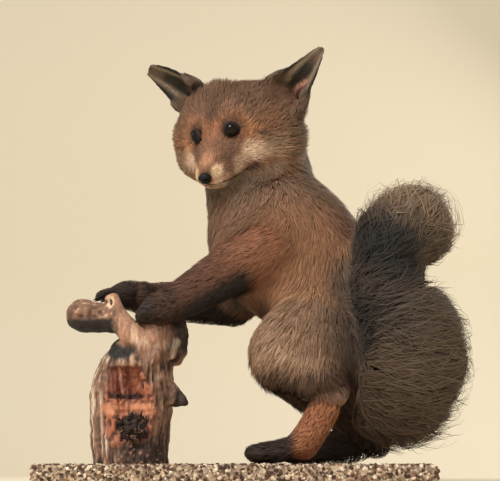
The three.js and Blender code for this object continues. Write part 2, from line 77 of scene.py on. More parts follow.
# %% Mesh and vector helpers
def unit(vectors):
    """Vectors of length one along the last axis."""
    length = np.linalg.norm(vectors, axis=-1, keepdims=True)
    return vectors / np.maximum(length, 1e-12)


def smoothstep(low, high, values):
    """0 below low, 1 above high, and a smooth ramp between them."""
    t = np.clip((values - low) / (high - low), 0, 1)
    return t * t * (3 - 2 * t)


def object_from(name, points, faces, smooth=True):
    """A mesh object from an array of points and an array of equally sided faces."""
    mesh = bpy.data.meshes.new(name)
    mesh.vertices.add(len(points))
    mesh.vertices.foreach_set("co", np.asarray(points, np.float32).ravel())
    sides = faces.shape[1]
    mesh.loops.add(faces.size)
    mesh.loops.foreach_set("vertex_index", np.asarray(faces, np.int32).ravel())
    mesh.polygons.add(len(faces))
    mesh.polygons.foreach_set("loop_start", np.arange(0, faces.size, sides, dtype=np.int32))
    mesh.update(calc_edges=True)
    mesh.polygons.foreach_set("use_smooth", np.full(len(faces), smooth))
    thing = bpy.data.objects.new(name, mesh)
    bpy.context.scene.collection.objects.link(thing)
    return thing


def points_of(mesh):
    points = np.zeros(len(mesh.vertices) * 3, np.float32)
    mesh.vertices.foreach_get("co", points)
    return points.reshape(-1, 3).astype(float)


def triangles_of(mesh):
    mesh.calc_loop_triangles()
    corners = np.zeros(len(mesh.loop_triangles) * 3, np.int32)
    mesh.loop_triangles.foreach_get("vertices", corners)
    return corners.reshape(-1, 3)


def vertex_normals(points, triangles):
    """Area weighted normals at the points of a triangle mesh."""
    a, b, c = (points[triangles[:, i]] for i in range(3))
    face = np.cross(b - a, c - a)
    total = np.zeros_like(points)
    for axis in range(3):
        for corner in range(3):
            total[:, axis] += np.bincount(triangles[:, corner], face[:, axis], len(points))
    return unit(total)


def linear(srgb):
    """Linear light from screen colours on the 0 to 255 scale."""
    c = np.asarray(srgb, float) / 255
    return np.where(c <= 0.04045, c / 12.92, ((c + 0.055) / 1.055) ** 2.4)


def new_finish(name):
    """A material, its shader, and the calls that add nodes and links to its tree."""
    material = bpy.data.materials.new(name)
    material.use_nodes = True
    tree = material.node_tree
    return material, tree.nodes["Principled BSDF"], tree.nodes.new, tree.links.new


def tuned(node, **values):
    """Sets inputs of a node by name, with an underscore for each space, and returns the node."""
    for name, value in values.items():
        node.inputs[name.replace("_", " ")].default_value = value
    return node


def mix(a, b, share):
    """a where share is 0, b where it is 1."""
    share = np.asarray(share)
    if np.ndim(share) < max(np.ndim(a), np.ndim(b)):
        share = share[..., None]
    return a + (b - a) * share


# %% Floor, backdrop and lamps
FLOOR_COLOUR = (0.80, 0.72, 0.56, 1)


def plain_material(name, colour, roughness):
    material, shader, _, _ = new_finish(name)
    shader.inputs["Base Color"].default_value = colour
    shader.inputs["Roughness"].default_value = roughness
    return material


sweep = [(-2.2, 0.0), (1.2, 0.0)]
sweep += [(1.2 + 0.6 * math.sin(a), 0.6 - 0.6 * math.cos(a)) for a in np.linspace(0.15, math.pi / 2, 10)]
sweep += [(1.8, 3.2)]
floor_points = [(x, y, z) for y, z in sweep for x in (-4.0, 4.0)]
floor_faces = [(2 * i, 2 * i + 1, 2 * i + 3, 2 * i + 2) for i in range(len(sweep) - 1)]
floor = object_from("floor", np.array(floor_points), np.array(floor_faces))
floor.data.materials.append(plain_material("studio_floor", FLOOR_COLOUR, 0.9))


def lamp(name, place, aim, size, power, colour):
    """A square area lamp at place, turned to aim."""
    light = bpy.data.lights.new(name, "AREA")
    light.size = size
    light.energy = power
    light.color = colour
    thing = bpy.data.objects.new(name, light)
    bpy.context.scene.collection.objects.link(thing)
    thing.location = place
    thing.rotation_euler = (Vector(aim) - Vector(place)).to_track_quat("-Z", "Y").to_euler()


FOX_MIDDLE = (0.03, 0.0, 0.25)
lamp("key", (-1.1, -1.5, 1.7), FOX_MIDDLE, 0.9, 42, (1.0, 0.96, 0.90))
lamp("catchlight", (0.22, -1.15, 0.16), FOX_MIDDLE, 0.07, 0.5, (1.0, 1.0, 1.0))
lamp("rim", (1.3, 1.0, 1.4), FOX_MIDDLE, 0.9, 14, (1.0, 0.97, 0.93))
world = bpy.data.worlds.new("studio")
world.use_nodes = True
bpy.context.scene.world = world
world.node_tree.nodes["Background"].inputs["Color"].default_value = (1.0, 0.97, 0.92, 1)
world.node_tree.nodes["Background"].inputs["Strength"].default_value = 0.55

# %% [markdown]
# ## The head's own frame
# The fox turns and nods its head, so its eyes, muzzle and markings are laid out in a frame that turns with
# it: X along the muzzle, Y to the fox's left, Z up through the crown, and the origin midway between the
# eyes. Both glass eyes and the nose pad are nodes of the CAD model, and their boxes fix that frame.

# %% Head frame
EYE_FORWARD = -1.5 * MM
EYE_HEIGHT = -2.0 * MM
MUZZLE_DROP = math.atan2(26, 55)
EYE_RADIUS = 9.6 * MM


def middle_of(node):
    low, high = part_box(node)
    return np.array((low + high) / 2)


eye_places = {side: middle_of("eye_" + side) for side in ("left", "right")}
nose_place = middle_of("nose")
HEAD_LEFT = unit(eye_places["left"] - eye_places["right"])
eye_middle = (eye_places["left"] + eye_places["right"]) / 2
down_muzzle = nose_place - eye_middle
down_muzzle = unit(down_muzzle - HEAD_LEFT * (down_muzzle @ HEAD_LEFT))
over_muzzle = np.cross(down_muzzle, HEAD_LEFT)
HEAD_FORWARD = math.cos(MUZZLE_DROP) * down_muzzle + math.sin(MUZZLE_DROP) * over_muzzle
HEAD_UP = math.cos(MUZZLE_DROP) * over_muzzle - math.sin(MUZZLE_DROP) * down_muzzle
HEAD_AXES = np.array([HEAD_FORWARD, HEAD_LEFT, HEAD_UP])
HEAD_ORIGIN = eye_middle - EYE_FORWARD * HEAD_FORWARD - EYE_HEIGHT * HEAD_UP
print("head origin", HEAD_ORIGIN.round(4), "forward", HEAD_FORWARD.round(3))


def to_head(points):
    """Head coordinates in millimetres."""
    return (points - HEAD_ORIGIN) @ HEAD_AXES.T / MM


def from_head(points):
    """Places in the model from head coordinates in millimetres."""
    return HEAD_ORIGIN + np.asarray(points, float) * MM @ HEAD_AXES

# %% [markdown]
# ## One skin
# A mounted fox is one tanned hide over a form, so no seam shows between neck and shoulder or thigh and
# flank. The CAD model's solids reach out to the tips of the coat. Their copies are melted into one closed
# surface with a voxel remesh, relaxed until the facets are gone, and then drawn inwards by the depth of the
# coat at each place, so that the fur which grows from the skin ends where the solids do. Thin feet would
# shrink to points that way, so they are moved forwards and held just under the solids instead.

# %% Gather the solids of flesh
FLESH_STARTS = ("trunk", "neck", "head", "jaw", "ear_", "thigh_", "shank_", "hind_foot_", "foreleg_",
                "forepaw_", "tail_")
FLESH = sorted(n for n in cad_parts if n.startswith(FLESH_STARTS))


def merged_points(points, triangles, grid=1e-6):
    """The same triangles with the points that share a place joined."""
    keys = np.round(points / grid).astype(np.int64)
    _, first, back = np.unique(keys, axis=0, return_index=True, return_inverse=True)
    return points[first], back.ravel()[triangles]


def gathered(names, swelling):
    """Points, triangles and each triangle's node number of several CAD nodes, swollen to close their gaps."""
    points, triangles, owners, start = [], [], [], 0
    for i, name in enumerate(names):
        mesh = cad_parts[name].data
        own, faces = merged_points(points_of(mesh), triangles_of(mesh))
        own = own + vertex_normals(own, faces) * swelling
        points.append(own)
        triangles.append(faces + start)
        owners.append(np.full(len(faces), i))
        start += len(own)
    return np.concatenate(points), np.concatenate(triangles), np.concatenate(owners)


def remeshed(points, triangles, voxel):
    """One closed surface round several closed ones, as points and triangles."""
    thing = object_from("remesh_source", points, triangles)
    modifier = thing.modifiers.new("voxels", "REMESH")
    modifier.mode = "VOXEL"
    modifier.voxel_size = voxel
    evaluated = thing.evaluated_get(bpy.context.evaluated_depsgraph_get())
    mesh = bpy.data.meshes.new_from_object(evaluated)
    bpy.data.objects.remove(thing)
    made = points_of(mesh), triangles_of(mesh)
    bpy.data.meshes.remove(mesh)
    return made


def largest_shell(points, triangles):
    """The connected surface that has the most points."""
    label = np.arange(len(points))
    while True:
        low = label[triangles].min(axis=1)
        new = label.copy()
        np.minimum.at(new, triangles.ravel(), np.repeat(low, 3))
        new = new[new]
        if (new == label).all():
            break
        label = new
    kept = label == np.bincount(label).argmax()
    number = np.cumsum(kept) - 1
    return points[kept], number[triangles[kept[triangles[:, 0]]]]


class Web:
    """A triangle mesh's edges, to average a value over each point's neighbours."""

    def __init__(self, triangles, count):
        sides = np.concatenate([triangles[:, [0, 1]], triangles[:, [1, 2]], triangles[:, [2, 0]]])
        self.ends = np.unique(np.sort(sides, axis=1), axis=0)
        self.count = count
        self.degree = np.maximum(np.bincount(self.ends.ravel(), minlength=count), 1)

    def mean(self, values):
        flat = values.reshape(self.count, -1)
        total = np.empty_like(flat)
        a, b = self.ends.T
        for i in range(flat.shape[1]):
            column = flat[:, i]
            total[:, i] = np.bincount(a, column[b], self.count) + np.bincount(b, column[a], self.count)
        return (total / self.degree[:, None]).reshape(values.shape)

    def smooth(self, values, times, share=0.5):
        share = np.asarray(share)
        if share.ndim and values.ndim > 1:
            share = share[:, None]
        for _ in range(times):
            values = values + (self.mean(values) - values) * share
        return values


# %% Melt the solids together
SKIN_VOXEL = 2.25 * MM
NODE_SWELLING = 0.35 * MM
flesh_points, flesh_triangles, flesh_owner = gathered(FLESH + ["eye_left", "eye_right"], NODE_SWELLING)
skin_points, skin_triangles = largest_shell(*remeshed(flesh_points, flesh_triangles, SKIN_VOXEL))
web = Web(skin_triangles, len(skin_points))
print("melted skin", len(skin_points), "points", len(skin_triangles), "triangles")

# %% Find which part of the body each point of skin belongs to
PARTS = FLESH
part_of_eye = PARTS.index("head")
cad_tree = BVHTree.FromPolygons(flesh_points.tolist(), flesh_triangles.tolist())
nearest_face = np.array([cad_tree.find_nearest(p)[2] for p in skin_points.tolist()])
owner = flesh_owner[nearest_face]
owner[owner >= len(PARTS)] = part_of_eye
part_share = np.zeros((len(skin_points), len(PARTS)))
part_share[np.arange(len(skin_points)), owner] = 1
ear_share = part_share[:, [PARTS.index("ear_left"), PARTS.index("ear_right")]].sum(1)
near_ear = web.smooth(ear_share, 3)
RELAX_IN, RELAX_OUT = 0.55, 0.57
FACET_ROUNDS = 22
SOFT_ROUNDS = 90


def taubin(points, times, share):
    """Relaxes a surface without shrinking it."""
    for _ in range(times):
        points = points + (web.mean(points) - points) * (RELAX_IN * share)
        points = points - (web.mean(points) - points) * (RELAX_OUT * share)
    return points


calm = (1 - 0.8 * near_ear)[:, None]
skin_points = taubin(skin_points, FACET_ROUNDS, calm)
skin_points = web.smooth(skin_points, 3, 0.5 * calm[:, 0])
SOFT_PARTS = {"tail": 1.0, "trunk": 0.6, "thigh": 0.6, "neck": 0.5}
softness = sum(weight * part_share[:, [part.startswith(start) for part in PARTS]].sum(axis=1)
               for start, weight in SOFT_PARTS.items())
softness = web.smooth(softness, 20)
skin_points = web.smooth(skin_points, SOFT_ROUNDS, 0.5 * softness)
part_share = web.smooth(part_share, 12)
print("skin relaxed")

# %% [markdown]
# ## How the coat lies
# Every fox has the same map of fur: velvet on the muzzle and feet, short plush on the forehead, a deep ruff
# on the cheeks and neck, long guard hair on the flanks, and the longest of all on the brush. Each part of
# the body gets one row of numbers, and blurring the rows over the skin removes the borders between parts.

# %% One row for each part: depth, length and width of the fur in millimetres, tufts per square centimetre
COAT_COLUMNS = ("depth", "length", "width", "density", "curl")
COAT_ROWS = {
    "trunk": (13, 30, 1.5, 56, 0.08),
    "neck": (12, 24, 1.6, 62, 0.12),
    "head": (7, 14, 1.1, 110, 0.08),
    "jaw": (4, 9, 1.0, 120, 0.08),
    "ear": (1.2, 5, 0.9, 40, 0.05),
    "thigh": (11, 27, 1.6, 70, 0.16),
    "shank": (6, 13, 1.3, 55, 0.1),
    "hind_foot": (3, 7, 1.1, 55, 0.05),
    "foreleg_upper": (9, 18, 1.4, 50, 0.1),
    "foreleg_lower": (6, 12, 1.3, 50, 0.08),
    "forepaw": (3, 7, 1.1, 50, 0.05),
    "tail": (23, 39, 1.7, 50, 0.2),
}


def row_of(part):
    for start, row in COAT_ROWS.items():
        if part.startswith(start):
            return row
    raise KeyError(part)


coat_table = np.array([row_of(part) for part in PARTS])
coat = dict(zip(COAT_COLUMNS, (part_share @ coat_table).T))


def share_of(start):
    """How much of each point of skin belongs to the parts whose names start so."""
    return part_share[:, [i for i, part in enumerate(PARTS) if part.startswith(start)]].sum(axis=1)


head_share = share_of("head") + share_of("jaw")
head_place = to_head(skin_points)
hx, hy, hz = head_place.T
print("coat depth", coat["depth"].min().round(1), "to", coat["depth"].max().round(1))

# %% Fur on the head, in head coordinates
muzzle_share = smoothstep(2, 26, hx)
brow_share = smoothstep(-34, -6, hx) * (1 - muzzle_share)
cheek_share = smoothstep(-8, -45, hz) * (1 - smoothstep(4, 24, hx)) * smoothstep(18, 44, np.abs(hy))
crown_share = smoothstep(-20, -60, hx) * smoothstep(-10, 14, hz)
face_depth = 5.0 + 3.5 * crown_share + 6.0 * cheek_share - 2.0 * brow_share
face_depth = mix(face_depth, 1.5, muzzle_share)
coat["depth"] = mix(coat["depth"], face_depth, head_share)
face_length = 10 + 5 * crown_share + 13 * cheek_share - 3.5 * brow_share
face_length = mix(face_length, 3.2, muzzle_share)
coat["length"] = mix(coat["length"], face_length, head_share)
face_width = mix(mix(1.05, 1.25, cheek_share), 0.75, muzzle_share)
coat["width"] = mix(coat["width"], face_width, head_share)
face_density = mix(mix(70, 62, cheek_share), 150, muzzle_share)
coat["density"] = mix(coat["density"], face_density, head_share)
ear_blend = share_of("ear")
coat["depth"] = mix(coat["depth"], 0.8, smoothstep(0.35, 0.8, ear_blend))
coat["depth"] = web.smooth(coat["depth"], 8)
coat["lift"] = 1.0 + 0.3 * share_of("thigh") + 0.4 * share_of("tail")

# %% Draw the skin in under the coat
INSET_STEPS = 8
steady = calm[:, 0] * (1 - 0.85 * (share_of("forepaw") + share_of("hind_foot")))
for _ in range(INSET_STEPS):
    inward = (coat["depth"] * MM + NODE_SWELLING) / INSET_STEPS
    skin_points = skin_points - vertex_normals(skin_points, skin_triangles) * inward[:, None]
    skin_points = web.smooth(skin_points, 2, 0.5 * steady)
    skin_points = web.smooth(skin_points, 8, 0.5 * softness)
skin_points = taubin(skin_points, 4, calm)
TOE_SHIFT = (-6, 0, -2)
HELD_DEPTH = 1.0 * MM + NODE_SWELLING
PAW_SHIFTS = {"forepaw_left": (-9, -1, -5), "forepaw_right": (-9, 0, 1), "foreleg_lower_right": (-2, 0, -6)}
for part, shift in PAW_SHIFTS.items():
    skin_points = skin_points + share_of(part)[:, None] * np.array(shift) * MM
toe_share = share_of("hind_foot_left") * smoothstep(70, 46, skin_points[:, 0] / MM)
skin_points = skin_points + toe_share[:, None] * np.array(TOE_SHIFT) * MM
feet_share = share_of("forepaw") + share_of("hind_foot")
for _ in range(2):
    for i in np.flatnonzero(feet_share > 0.05):
        place, outward, _, _ = cad_tree.find_nearest(skin_points[i].tolist())
        over = float((skin_points[i] - np.array(place)) @ np.array(outward)) + HELD_DEPTH
        skin_points[i] -= np.array(outward) * max(over, 0)
    skin_points = web.smooth(skin_points, 2, 0.5 * feet_share)
print("skin drawn in")

# %% [markdown]
# ## The modelled face
# A taxidermist models the face in clay under the hide: hollows in front of the eyes, brow ridges, full
# whisker pads and a crease behind the jaw. The remesh is too smooth for these, so each form is a soft oval
# push on the skin, given in head coordinates for one side and mirrored to the other. One push is not
# mirrored: the far jowl, which is drawn in on its own.

# %% Pushes on the face
FACE_FORMS = [
    # middle, reach, push outwards, all in millimetres
    ((11, 14, -2), (9, 7, 9), -1.8),
    ((-6, 22, 13), (13, 13, 8), 2.6),
    ((3, 37, -15), (15, 13, 9), 1.8),
    ((20, 20, -12), (15, 9, 12), -1.6),
    ((41, 13, -31), (15, 9, 9), 2.0),
    ((26, 22, -36), (16, 10, 6), 1.8),
    ((3, 0, 9), (12, 12, 8), -1.6),
    ((-14, 0, 24), (14, 6, 8), -1.4),
    ((4, 46, -34), (18, 18, 15), 1.8),
]
MOUTH_LINE = [(53, 0, -38.5), (51, 6, -40), (46, 12, -41), (38, 18, -43), (29, 23, -44),
              (21, 29, -43.5), (14, 35.5, -42)]
JAW_CREASE = [(34, 25, -56), (20, 41, -62), (6, 57, -66), (-12, 72, -72), (-34, 82, -76)]
CREASE_REACH = 8
CREASE_DEPTH = 6
FAR_JOWL = (8, -44, -62)
FAR_JOWL_PUSH = 5


def soft_oval(points, middle, reach):
    """1 in the middle of an oval, falling off like a bell past its reach."""
    far = ((points - np.array(middle, float)) / np.array(reach, float)) ** 2
    return np.exp(-far.sum(axis=1))


def near_distance(points, line):
    """Distance from each point to a line of joined points, in millimetres."""
    best = np.full(len(points), np.inf)
    for a, b in zip(np.array(line[:-1], float), np.array(line[1:], float)):
        t = np.clip(((points - a) @ (b - a)) / ((b - a) @ (b - a)), 0, 1)
        best = np.minimum(best, np.linalg.norm(points - a - t[:, None] * (b - a), axis=1))
    return best


head_place = to_head(skin_points)
mirrored = np.column_stack([head_place[:, 0], np.abs(head_place[:, 1]), head_place[:, 2]])
push = np.zeros(len(skin_points))
for middle, reach, height in FACE_FORMS:
    push += height * soft_oval(mirrored, middle, reach)
push -= FAR_JOWL_PUSH * soft_oval(head_place, FAR_JOWL, (26, 24, 16))
push *= np.clip(head_share * 1.5, 0, 1) * (1 - near_ear)
crease = np.exp(-(near_distance(mirrored, JAW_CREASE) / CREASE_REACH) ** 2) * (1 - near_ear)
push -= CREASE_DEPTH * crease
skin_points = skin_points + vertex_normals(skin_points, skin_triangles) * (push * MM)[:, None]
skin_points = web.smooth(skin_points, 2, 0.4 * calm[:, 0])
coat["depth"] = coat["depth"] * (1 - 0.5 * crease)
coat["length"] = coat["length"] * (1 - 0.35 * crease)

# %% Room for the eyes
LID_AXIS = {"left": 1, "right": -1}
LID_TURN = math.radians(31)
LID_RISE = math.radians(3)
LID_INNER, LID_OUTER = math.radians(44), math.radians(40)
LID_UPPER, LID_LOWER = math.radians(70), math.radians(84)


def eye_axes(side):
    """Directions in the model: out of the eye, towards its outer corner, and up."""
    sign = LID_AXIS[side]
    level = np.array([math.cos(LID_TURN), sign * math.sin(LID_TURN), 0.0])
    out = level * math.cos(LID_RISE) + np.array([0, 0, math.sin(LID_RISE)])
    outer = unit(np.array([-math.sin(LID_TURN), sign * math.cos(LID_TURN), 0.0]) + np.array([0, 0, 0.12]))
    outer = unit(outer - out * (out @ outer))
    up = np.cross(out, outer) * sign
    return out @ HEAD_AXES, outer @ HEAD_AXES, up @ HEAD_AXES


def lid_angle(across, upward):
    """The opening's half angle in a direction round the eye."""
    wide = np.where(across > 0, LID_OUTER, LID_INNER)
    tall = np.where(upward > 0, LID_UPPER, LID_LOWER)
    return 1 / np.sqrt((across / wide) ** 2 + (upward / tall) ** 2)


for side, centre in eye_places.items():
    out, outer, up = eye_axes(side)
    from_eye = skin_points - centre
    far = np.linalg.norm(from_eye, axis=1)
    heading = from_eye / np.maximum(far, 1e-9)[:, None]
    across, upward = heading @ outer, heading @ up
    ring = np.hypot(across, upward)
    off_axis = np.arctan2(ring, heading @ out)
    edge = lid_angle(across / np.maximum(ring, 1e-9), upward / np.maximum(ring, 1e-9))
    inside = (far < EYE_RADIUS * 1.6) & (off_axis < edge + math.radians(14))
    skin_points[inside] = centre + heading[inside] * np.minimum(far[inside], EYE_RADIUS - 1.8 * MM)[:, None]
    rim = (far < EYE_RADIUS * 1.5) & ~inside & (off_axis < edge + math.radians(36))
    skin_points[rim] = centre + heading[rim] * np.minimum(far[rim], EYE_RADIUS + 0.5 * MM)[:, None]
print("face modelled, deepest push", round(push.min(), 1), "highest", round(push.max(), 1))

# %% Skin left bare round the eyes and along the lips
bare = np.exp(-(near_distance(mirrored, MOUTH_LINE) / 1.6) ** 2)
for centre in eye_places.values():
    off_glass = np.linalg.norm(skin_points - centre, axis=1) / MM
    bare = np.maximum(bare, smoothstep(EYE_RADIUS / MM + 2.5, EYE_RADIUS / MM + 0.8, off_glass))
coat["density"] = coat["density"] * (1 - bare)

# %% [markdown]
# ## Flow of the fur
# Hair never stands where it likes: it runs back from the nose, down the neck and flanks, along each leg to
# the foot, and outwards on the brush. One direction for each point of skin holds that map. It comes from a
# line of joints for each part, and blurring it over the skin makes the partings soft.

# %% Joints of the mounted body, in millimetres, with the ears in head coordinates
HIPS = {"left": (101, -42, 152), "right": (106, 42, 150)}
KNEES = {"left": (43, -63, 121), "right": (52, 60, 122)}
HOCKS = {"left": (102, -64, 90), "right": (160, 64, 46)}
TOE_BALLS = {"left": (67, -64, 33), "right": (66, 64, 30)}
TOE_TIPS = {"left": (20, -64, 29), "right": (42, 64, 27)}
SHOULDERS = {"left": (50, -40, 252), "right": (48, 38, 246)}
ELBOWS = {"left": (0, -44, 221), "right": (4, 44, 204)}
WRISTS = {"left": (-64, -34, 184), "right": (-98, 22, 202)}
PAW_TIPS = {"left": (-99, -30, 170), "right": (-150, 13, 198)}
TAIL_LINE = [(146, -10, 78), (172, -38, 98), (175, -50, 145), (160, -50, 200), (177, -48, 244),
             (190, -46, 274)]
EAR_ROOTS = {"left": (-62, 64, -3), "right": (-58, -46, 24)}
EAR_TIPS = {"left": (-82, 118, 36), "right": (-75, -87, 66)}


def way(start, end):
    return unit(np.array(end, float) - np.array(start, float))


def along_line(points, line):
    """For each point, its nearest place on a line of joints, the line's direction there and the share run."""
    line = np.array(line, float) * MM
    best = np.full(len(points), np.inf)
    place, heading, share = np.zeros((len(points), 3)), np.zeros((len(points), 3)), np.zeros(len(points))
    for i, (a, b) in enumerate(zip(line[:-1], line[1:])):
        t = np.clip(((points - a) @ (b - a)) / ((b - a) @ (b - a)), 0, 1)
        foot = a + t[:, None] * (b - a)
        far = np.linalg.norm(points - foot, axis=1)
        nearer = far < best
        best[nearer] = far[nearer]
        place[nearer] = foot[nearer]
        heading[nearer] = unit(b - a)
        share[nearer] = (i + t[nearer]) / (len(line) - 1)
    return place, heading, share


# %% A direction for each point of skin
skin_normals = vertex_normals(skin_points, skin_triangles)
flow = np.zeros_like(skin_points)


def lay(part, direction):
    """Adds a part's direction, by how much of each point belongs to it."""
    global flow
    flow = flow + share_of(part)[:, None] * unit(np.broadcast_to(direction, flow.shape))


back_share = smoothstep(0.1, 0.8, skin_normals @ unit(np.array([0.8, 0, 0.6])))[:, None]
lay("trunk", mix(np.array([-0.1, 0, -1.0]), np.array([0.75, 0, -0.66]), back_share))
lay("neck", mix(np.array([0.0, 0, -1.0]), np.array([0.35, 0, -0.94]), back_share))
for side in ("left", "right"):
    spread = 0.5 * (skin_points - np.array(HIPS[side]) * MM) / (60 * MM) * (1, 0, 0)
    lay("thigh_" + side, np.array([-0.08, 0, -1.0]) + spread)
    lay("shank_" + side, way(KNEES[side], HOCKS[side]))
    lay("hind_foot_" + side, mix(way(HOCKS[side], TOE_BALLS[side]), way(TOE_BALLS[side], TOE_TIPS[side]),
                                 smoothstep(50, 32, skin_points[:, 2] / MM)[:, None]))
    lay("foreleg_upper_" + side, way(SHOULDERS[side], ELBOWS[side]))
    lay("foreleg_lower_" + side, way(ELBOWS[side], WRISTS[side]))
    lay("forepaw_" + side, way(WRISTS[side], PAW_TIPS[side]))
    lay("ear_" + side, way(EAR_ROOTS[side], EAR_TIPS[side]) @ HEAD_AXES)
tail_core, _, tail_run = along_line(skin_points, TAIL_LINE)
tail_rise = smoothstep(0.52, 0.76, tail_run)[:, None]
parting = (np.array([[160, 0, 224], [126, 0, 146]]) * MM)
from_parting = skin_points * (1, 0, 1) - along_line(skin_points * (1, 0, 1), parting)[0]
lay("tail", unit(from_parting) + mix(np.array([0.1, 0, -0.6]), np.array([0.2, 0, 0.6]), tail_rise))
head_place = to_head(skin_points)
hx, hy, hz = head_place.T
from_nose = head_place - np.array([64, 0, -20])
from_nose[:, 2] -= 26 * cheek_share
lay("head", unit(from_nose) @ HEAD_AXES)
lay("jaw", unit(from_nose) @ HEAD_AXES)
flow = flow - skin_normals * (flow * skin_normals).sum(1)[:, None]
flow = web.smooth(unit(flow), 14)
flow = unit(flow - skin_normals * (flow * skin_normals).sum(1)[:, None])
print("flow laid")

# %% [markdown]
# ## Markings
# A young red fox is red on the face, shoulders and flanks, grey on the cheeks, thighs and brush, and
# near black on the feet, with white beside the nose. Painted shade lies under the forelegs and the
# thighs, behind the elbows, where the brush meets the flank, in the brush's parting, under the jaw, round
# the eyes and in the ears. Each marking is a soft patch in body or head coordinates, laid over one ground
# colour for each part. The skin and each tuft that roots in it read the same map, so bare patches never
# flash through.

# %% Ground colours, on the 0 to 255 scale
GROUND = {
    "trunk": (148, 107, 79),
    "neck": (108, 88, 73),
    "head": (138, 99, 74),
    "jaw": (120, 100, 84),
    "ear": (112, 90, 72),
    "thigh": (150, 118, 94),
    "shank": (98, 72, 56),
    "hind_foot": (62, 50, 44),
    "foreleg_upper": (146, 98, 72),
    "foreleg_lower": (132, 84, 60),
    "forepaw": (62, 50, 44),
    "tail": (96, 80, 66),
}


def ground_of(part):
    return next(colour for start, colour in GROUND.items() if part.startswith(start))


colour = part_share @ linear([ground_of(part) for part in PARTS])


def patch(points, centre, reach):
    """1 at the middle of an oval patch and 0 past its reach, softly."""
    far = np.linalg.norm((points - np.array(centre, float)) / np.array(reach, float), axis=1)
    return smoothstep(1.0, 0.45, far)


def paint(where, shade):
    """Lays a shade over the ground by a share for each point."""
    global colour
    colour = mix(colour, linear(shade), np.clip(where, 0, 1))


# %% Body markings
body = skin_points / MM
bx, by, bz = body.T
trunk_share, neck_share = share_of("trunk"), share_of("neck")
paint(trunk_share * smoothstep(0.3, 0.9, back_share[:, 0]), (126, 94, 73))
paint(trunk_share * smoothstep(50, 15, bx) * smoothstep(215, 250, bz) * 0.8, (122, 92, 72))
paint(trunk_share * smoothstep(190, 140, bz) * smoothstep(-30, -60, by) * 0.8, (176, 134, 100))
paint(trunk_share * patch(body, (78, -60, 178), (34, 50, 34)) * 0.7, (186, 142, 106))
paint(trunk_share * smoothstep(30, 0, bx) * smoothstep(-22, 10, by), (92, 78, 66))
# painted shade in the pits behind the elbows and under the chest
paint(trunk_share * patch(body, (36, 0, 190), (34, 60, 28)), (86, 64, 50))
# darker towards the rear of the flank: greyer fur there, with painted shade where the brush meets it
paint(trunk_share * smoothstep(88, 108, bx) * smoothstep(256, 226, bz), (98, 80, 66))
paint(trunk_share * smoothstep(96, 118, bx) * smoothstep(226, 190, bz), (72, 61, 53))
paint(trunk_share * smoothstep(285, 318, bz) * 0.7, (112, 90, 73))
paint(neck_share * smoothstep(40, 0, bx) * smoothstep(-10, -40, by) * 0.6, (104, 88, 72))
for side in ("left", "right"):
    arm = share_of("foreleg_upper_" + side) + share_of("foreleg_lower_" + side)
    arm_place, _, arm_run = along_line(skin_points, [SHOULDERS[side], ELBOWS[side], WRISTS[side]])
    under = ((skin_points - arm_place) / MM) @ np.array([0.45, 0, -0.9])
    paint(arm * smoothstep(0.15, 0.8, arm_run) * 0.9, (92, 64, 50))
    # painted shade on the underside of each foreleg
    paint(arm * smoothstep(3, 13, under) * smoothstep(0.3, 0.45, arm_run), (48, 38, 34))
    paint(arm * smoothstep(0.85, 1.0, arm_run), (66, 50, 42))
    thigh = share_of("thigh_" + side)
    paint(thigh * smoothstep(70, 92, bx) * 0.7, (122, 97, 78))
    # darker towards the rear of the thigh: greyer fur, with painted shade where the brush meets it
    paint(thigh * smoothstep(86, 108, bx), (80, 65, 55))
    paint(thigh * smoothstep(106, 122, bx), (54, 46, 41))
    paint(thigh * smoothstep(128, 104, bz) * 0.4, (120, 92, 72))
    paint(thigh * patch(body, (66, -90, 130), (44, 60, 9)) * 0.7, (190, 156, 128))
    # darker fur and painted shade along the underside of the thigh
    paint(thigh * smoothstep(124, 113, bz) * smoothstep(18, 34, bx), (74, 54, 43))
    paint(share_of("shank_" + side) * 0.7, (82, 60, 48))
    hind = share_of("hind_foot_" + side)
    if side == "left":
        paint(hind * smoothstep(58, 66, bx), (166, 108, 75))
        paint(hind * smoothstep(80, 90, bz) * smoothstep(86, 94, bx), (214, 196, 172))
    else:
        paint(hind, (62, 50, 42))
tail_share = share_of("tail")
tail_side = (skin_points - tail_core) / MM
# darker grey on the front of the brush from its middle on: grey fur, with painted shade
paint(tail_share * smoothstep(12, -22, tail_side[:, 0]) * smoothstep(0.3, 0.5, tail_run) * 0.8, (66, 58, 51))
# painted shadow deep in the parting of the brush, where it meets the flank and thigh
paint(tail_share * patch(body, (158, -80, 214), (30, 80, 42)), (40, 37, 34))
paint(tail_share * patch(body, (128, -75, 152), (24, 60, 44)), (40, 36, 33))
paint(tail_share * smoothstep(0.74, 0.92, tail_run), (134, 112, 90))
# painted shade at the bottom of the brush, next to the board
paint(tail_share * smoothstep(40, 30, bz), (66, 53, 44))

# %% Face markings, in head coordinates
head_mirrored = np.column_stack([hx, np.abs(hy), hz])


def face(centre, reach, shade, strength=1.0):
    """A marking on both sides of the face."""
    paint(head_share * patch(head_mirrored, centre, reach) * strength, shade)


def face_line(line, reach, shade, strength=1.0):
    """A thin marking along a line, on both sides of the face."""
    paint(head_share * np.exp(-(near_distance(head_mirrored, line) / reach) ** 2) * strength, shade)


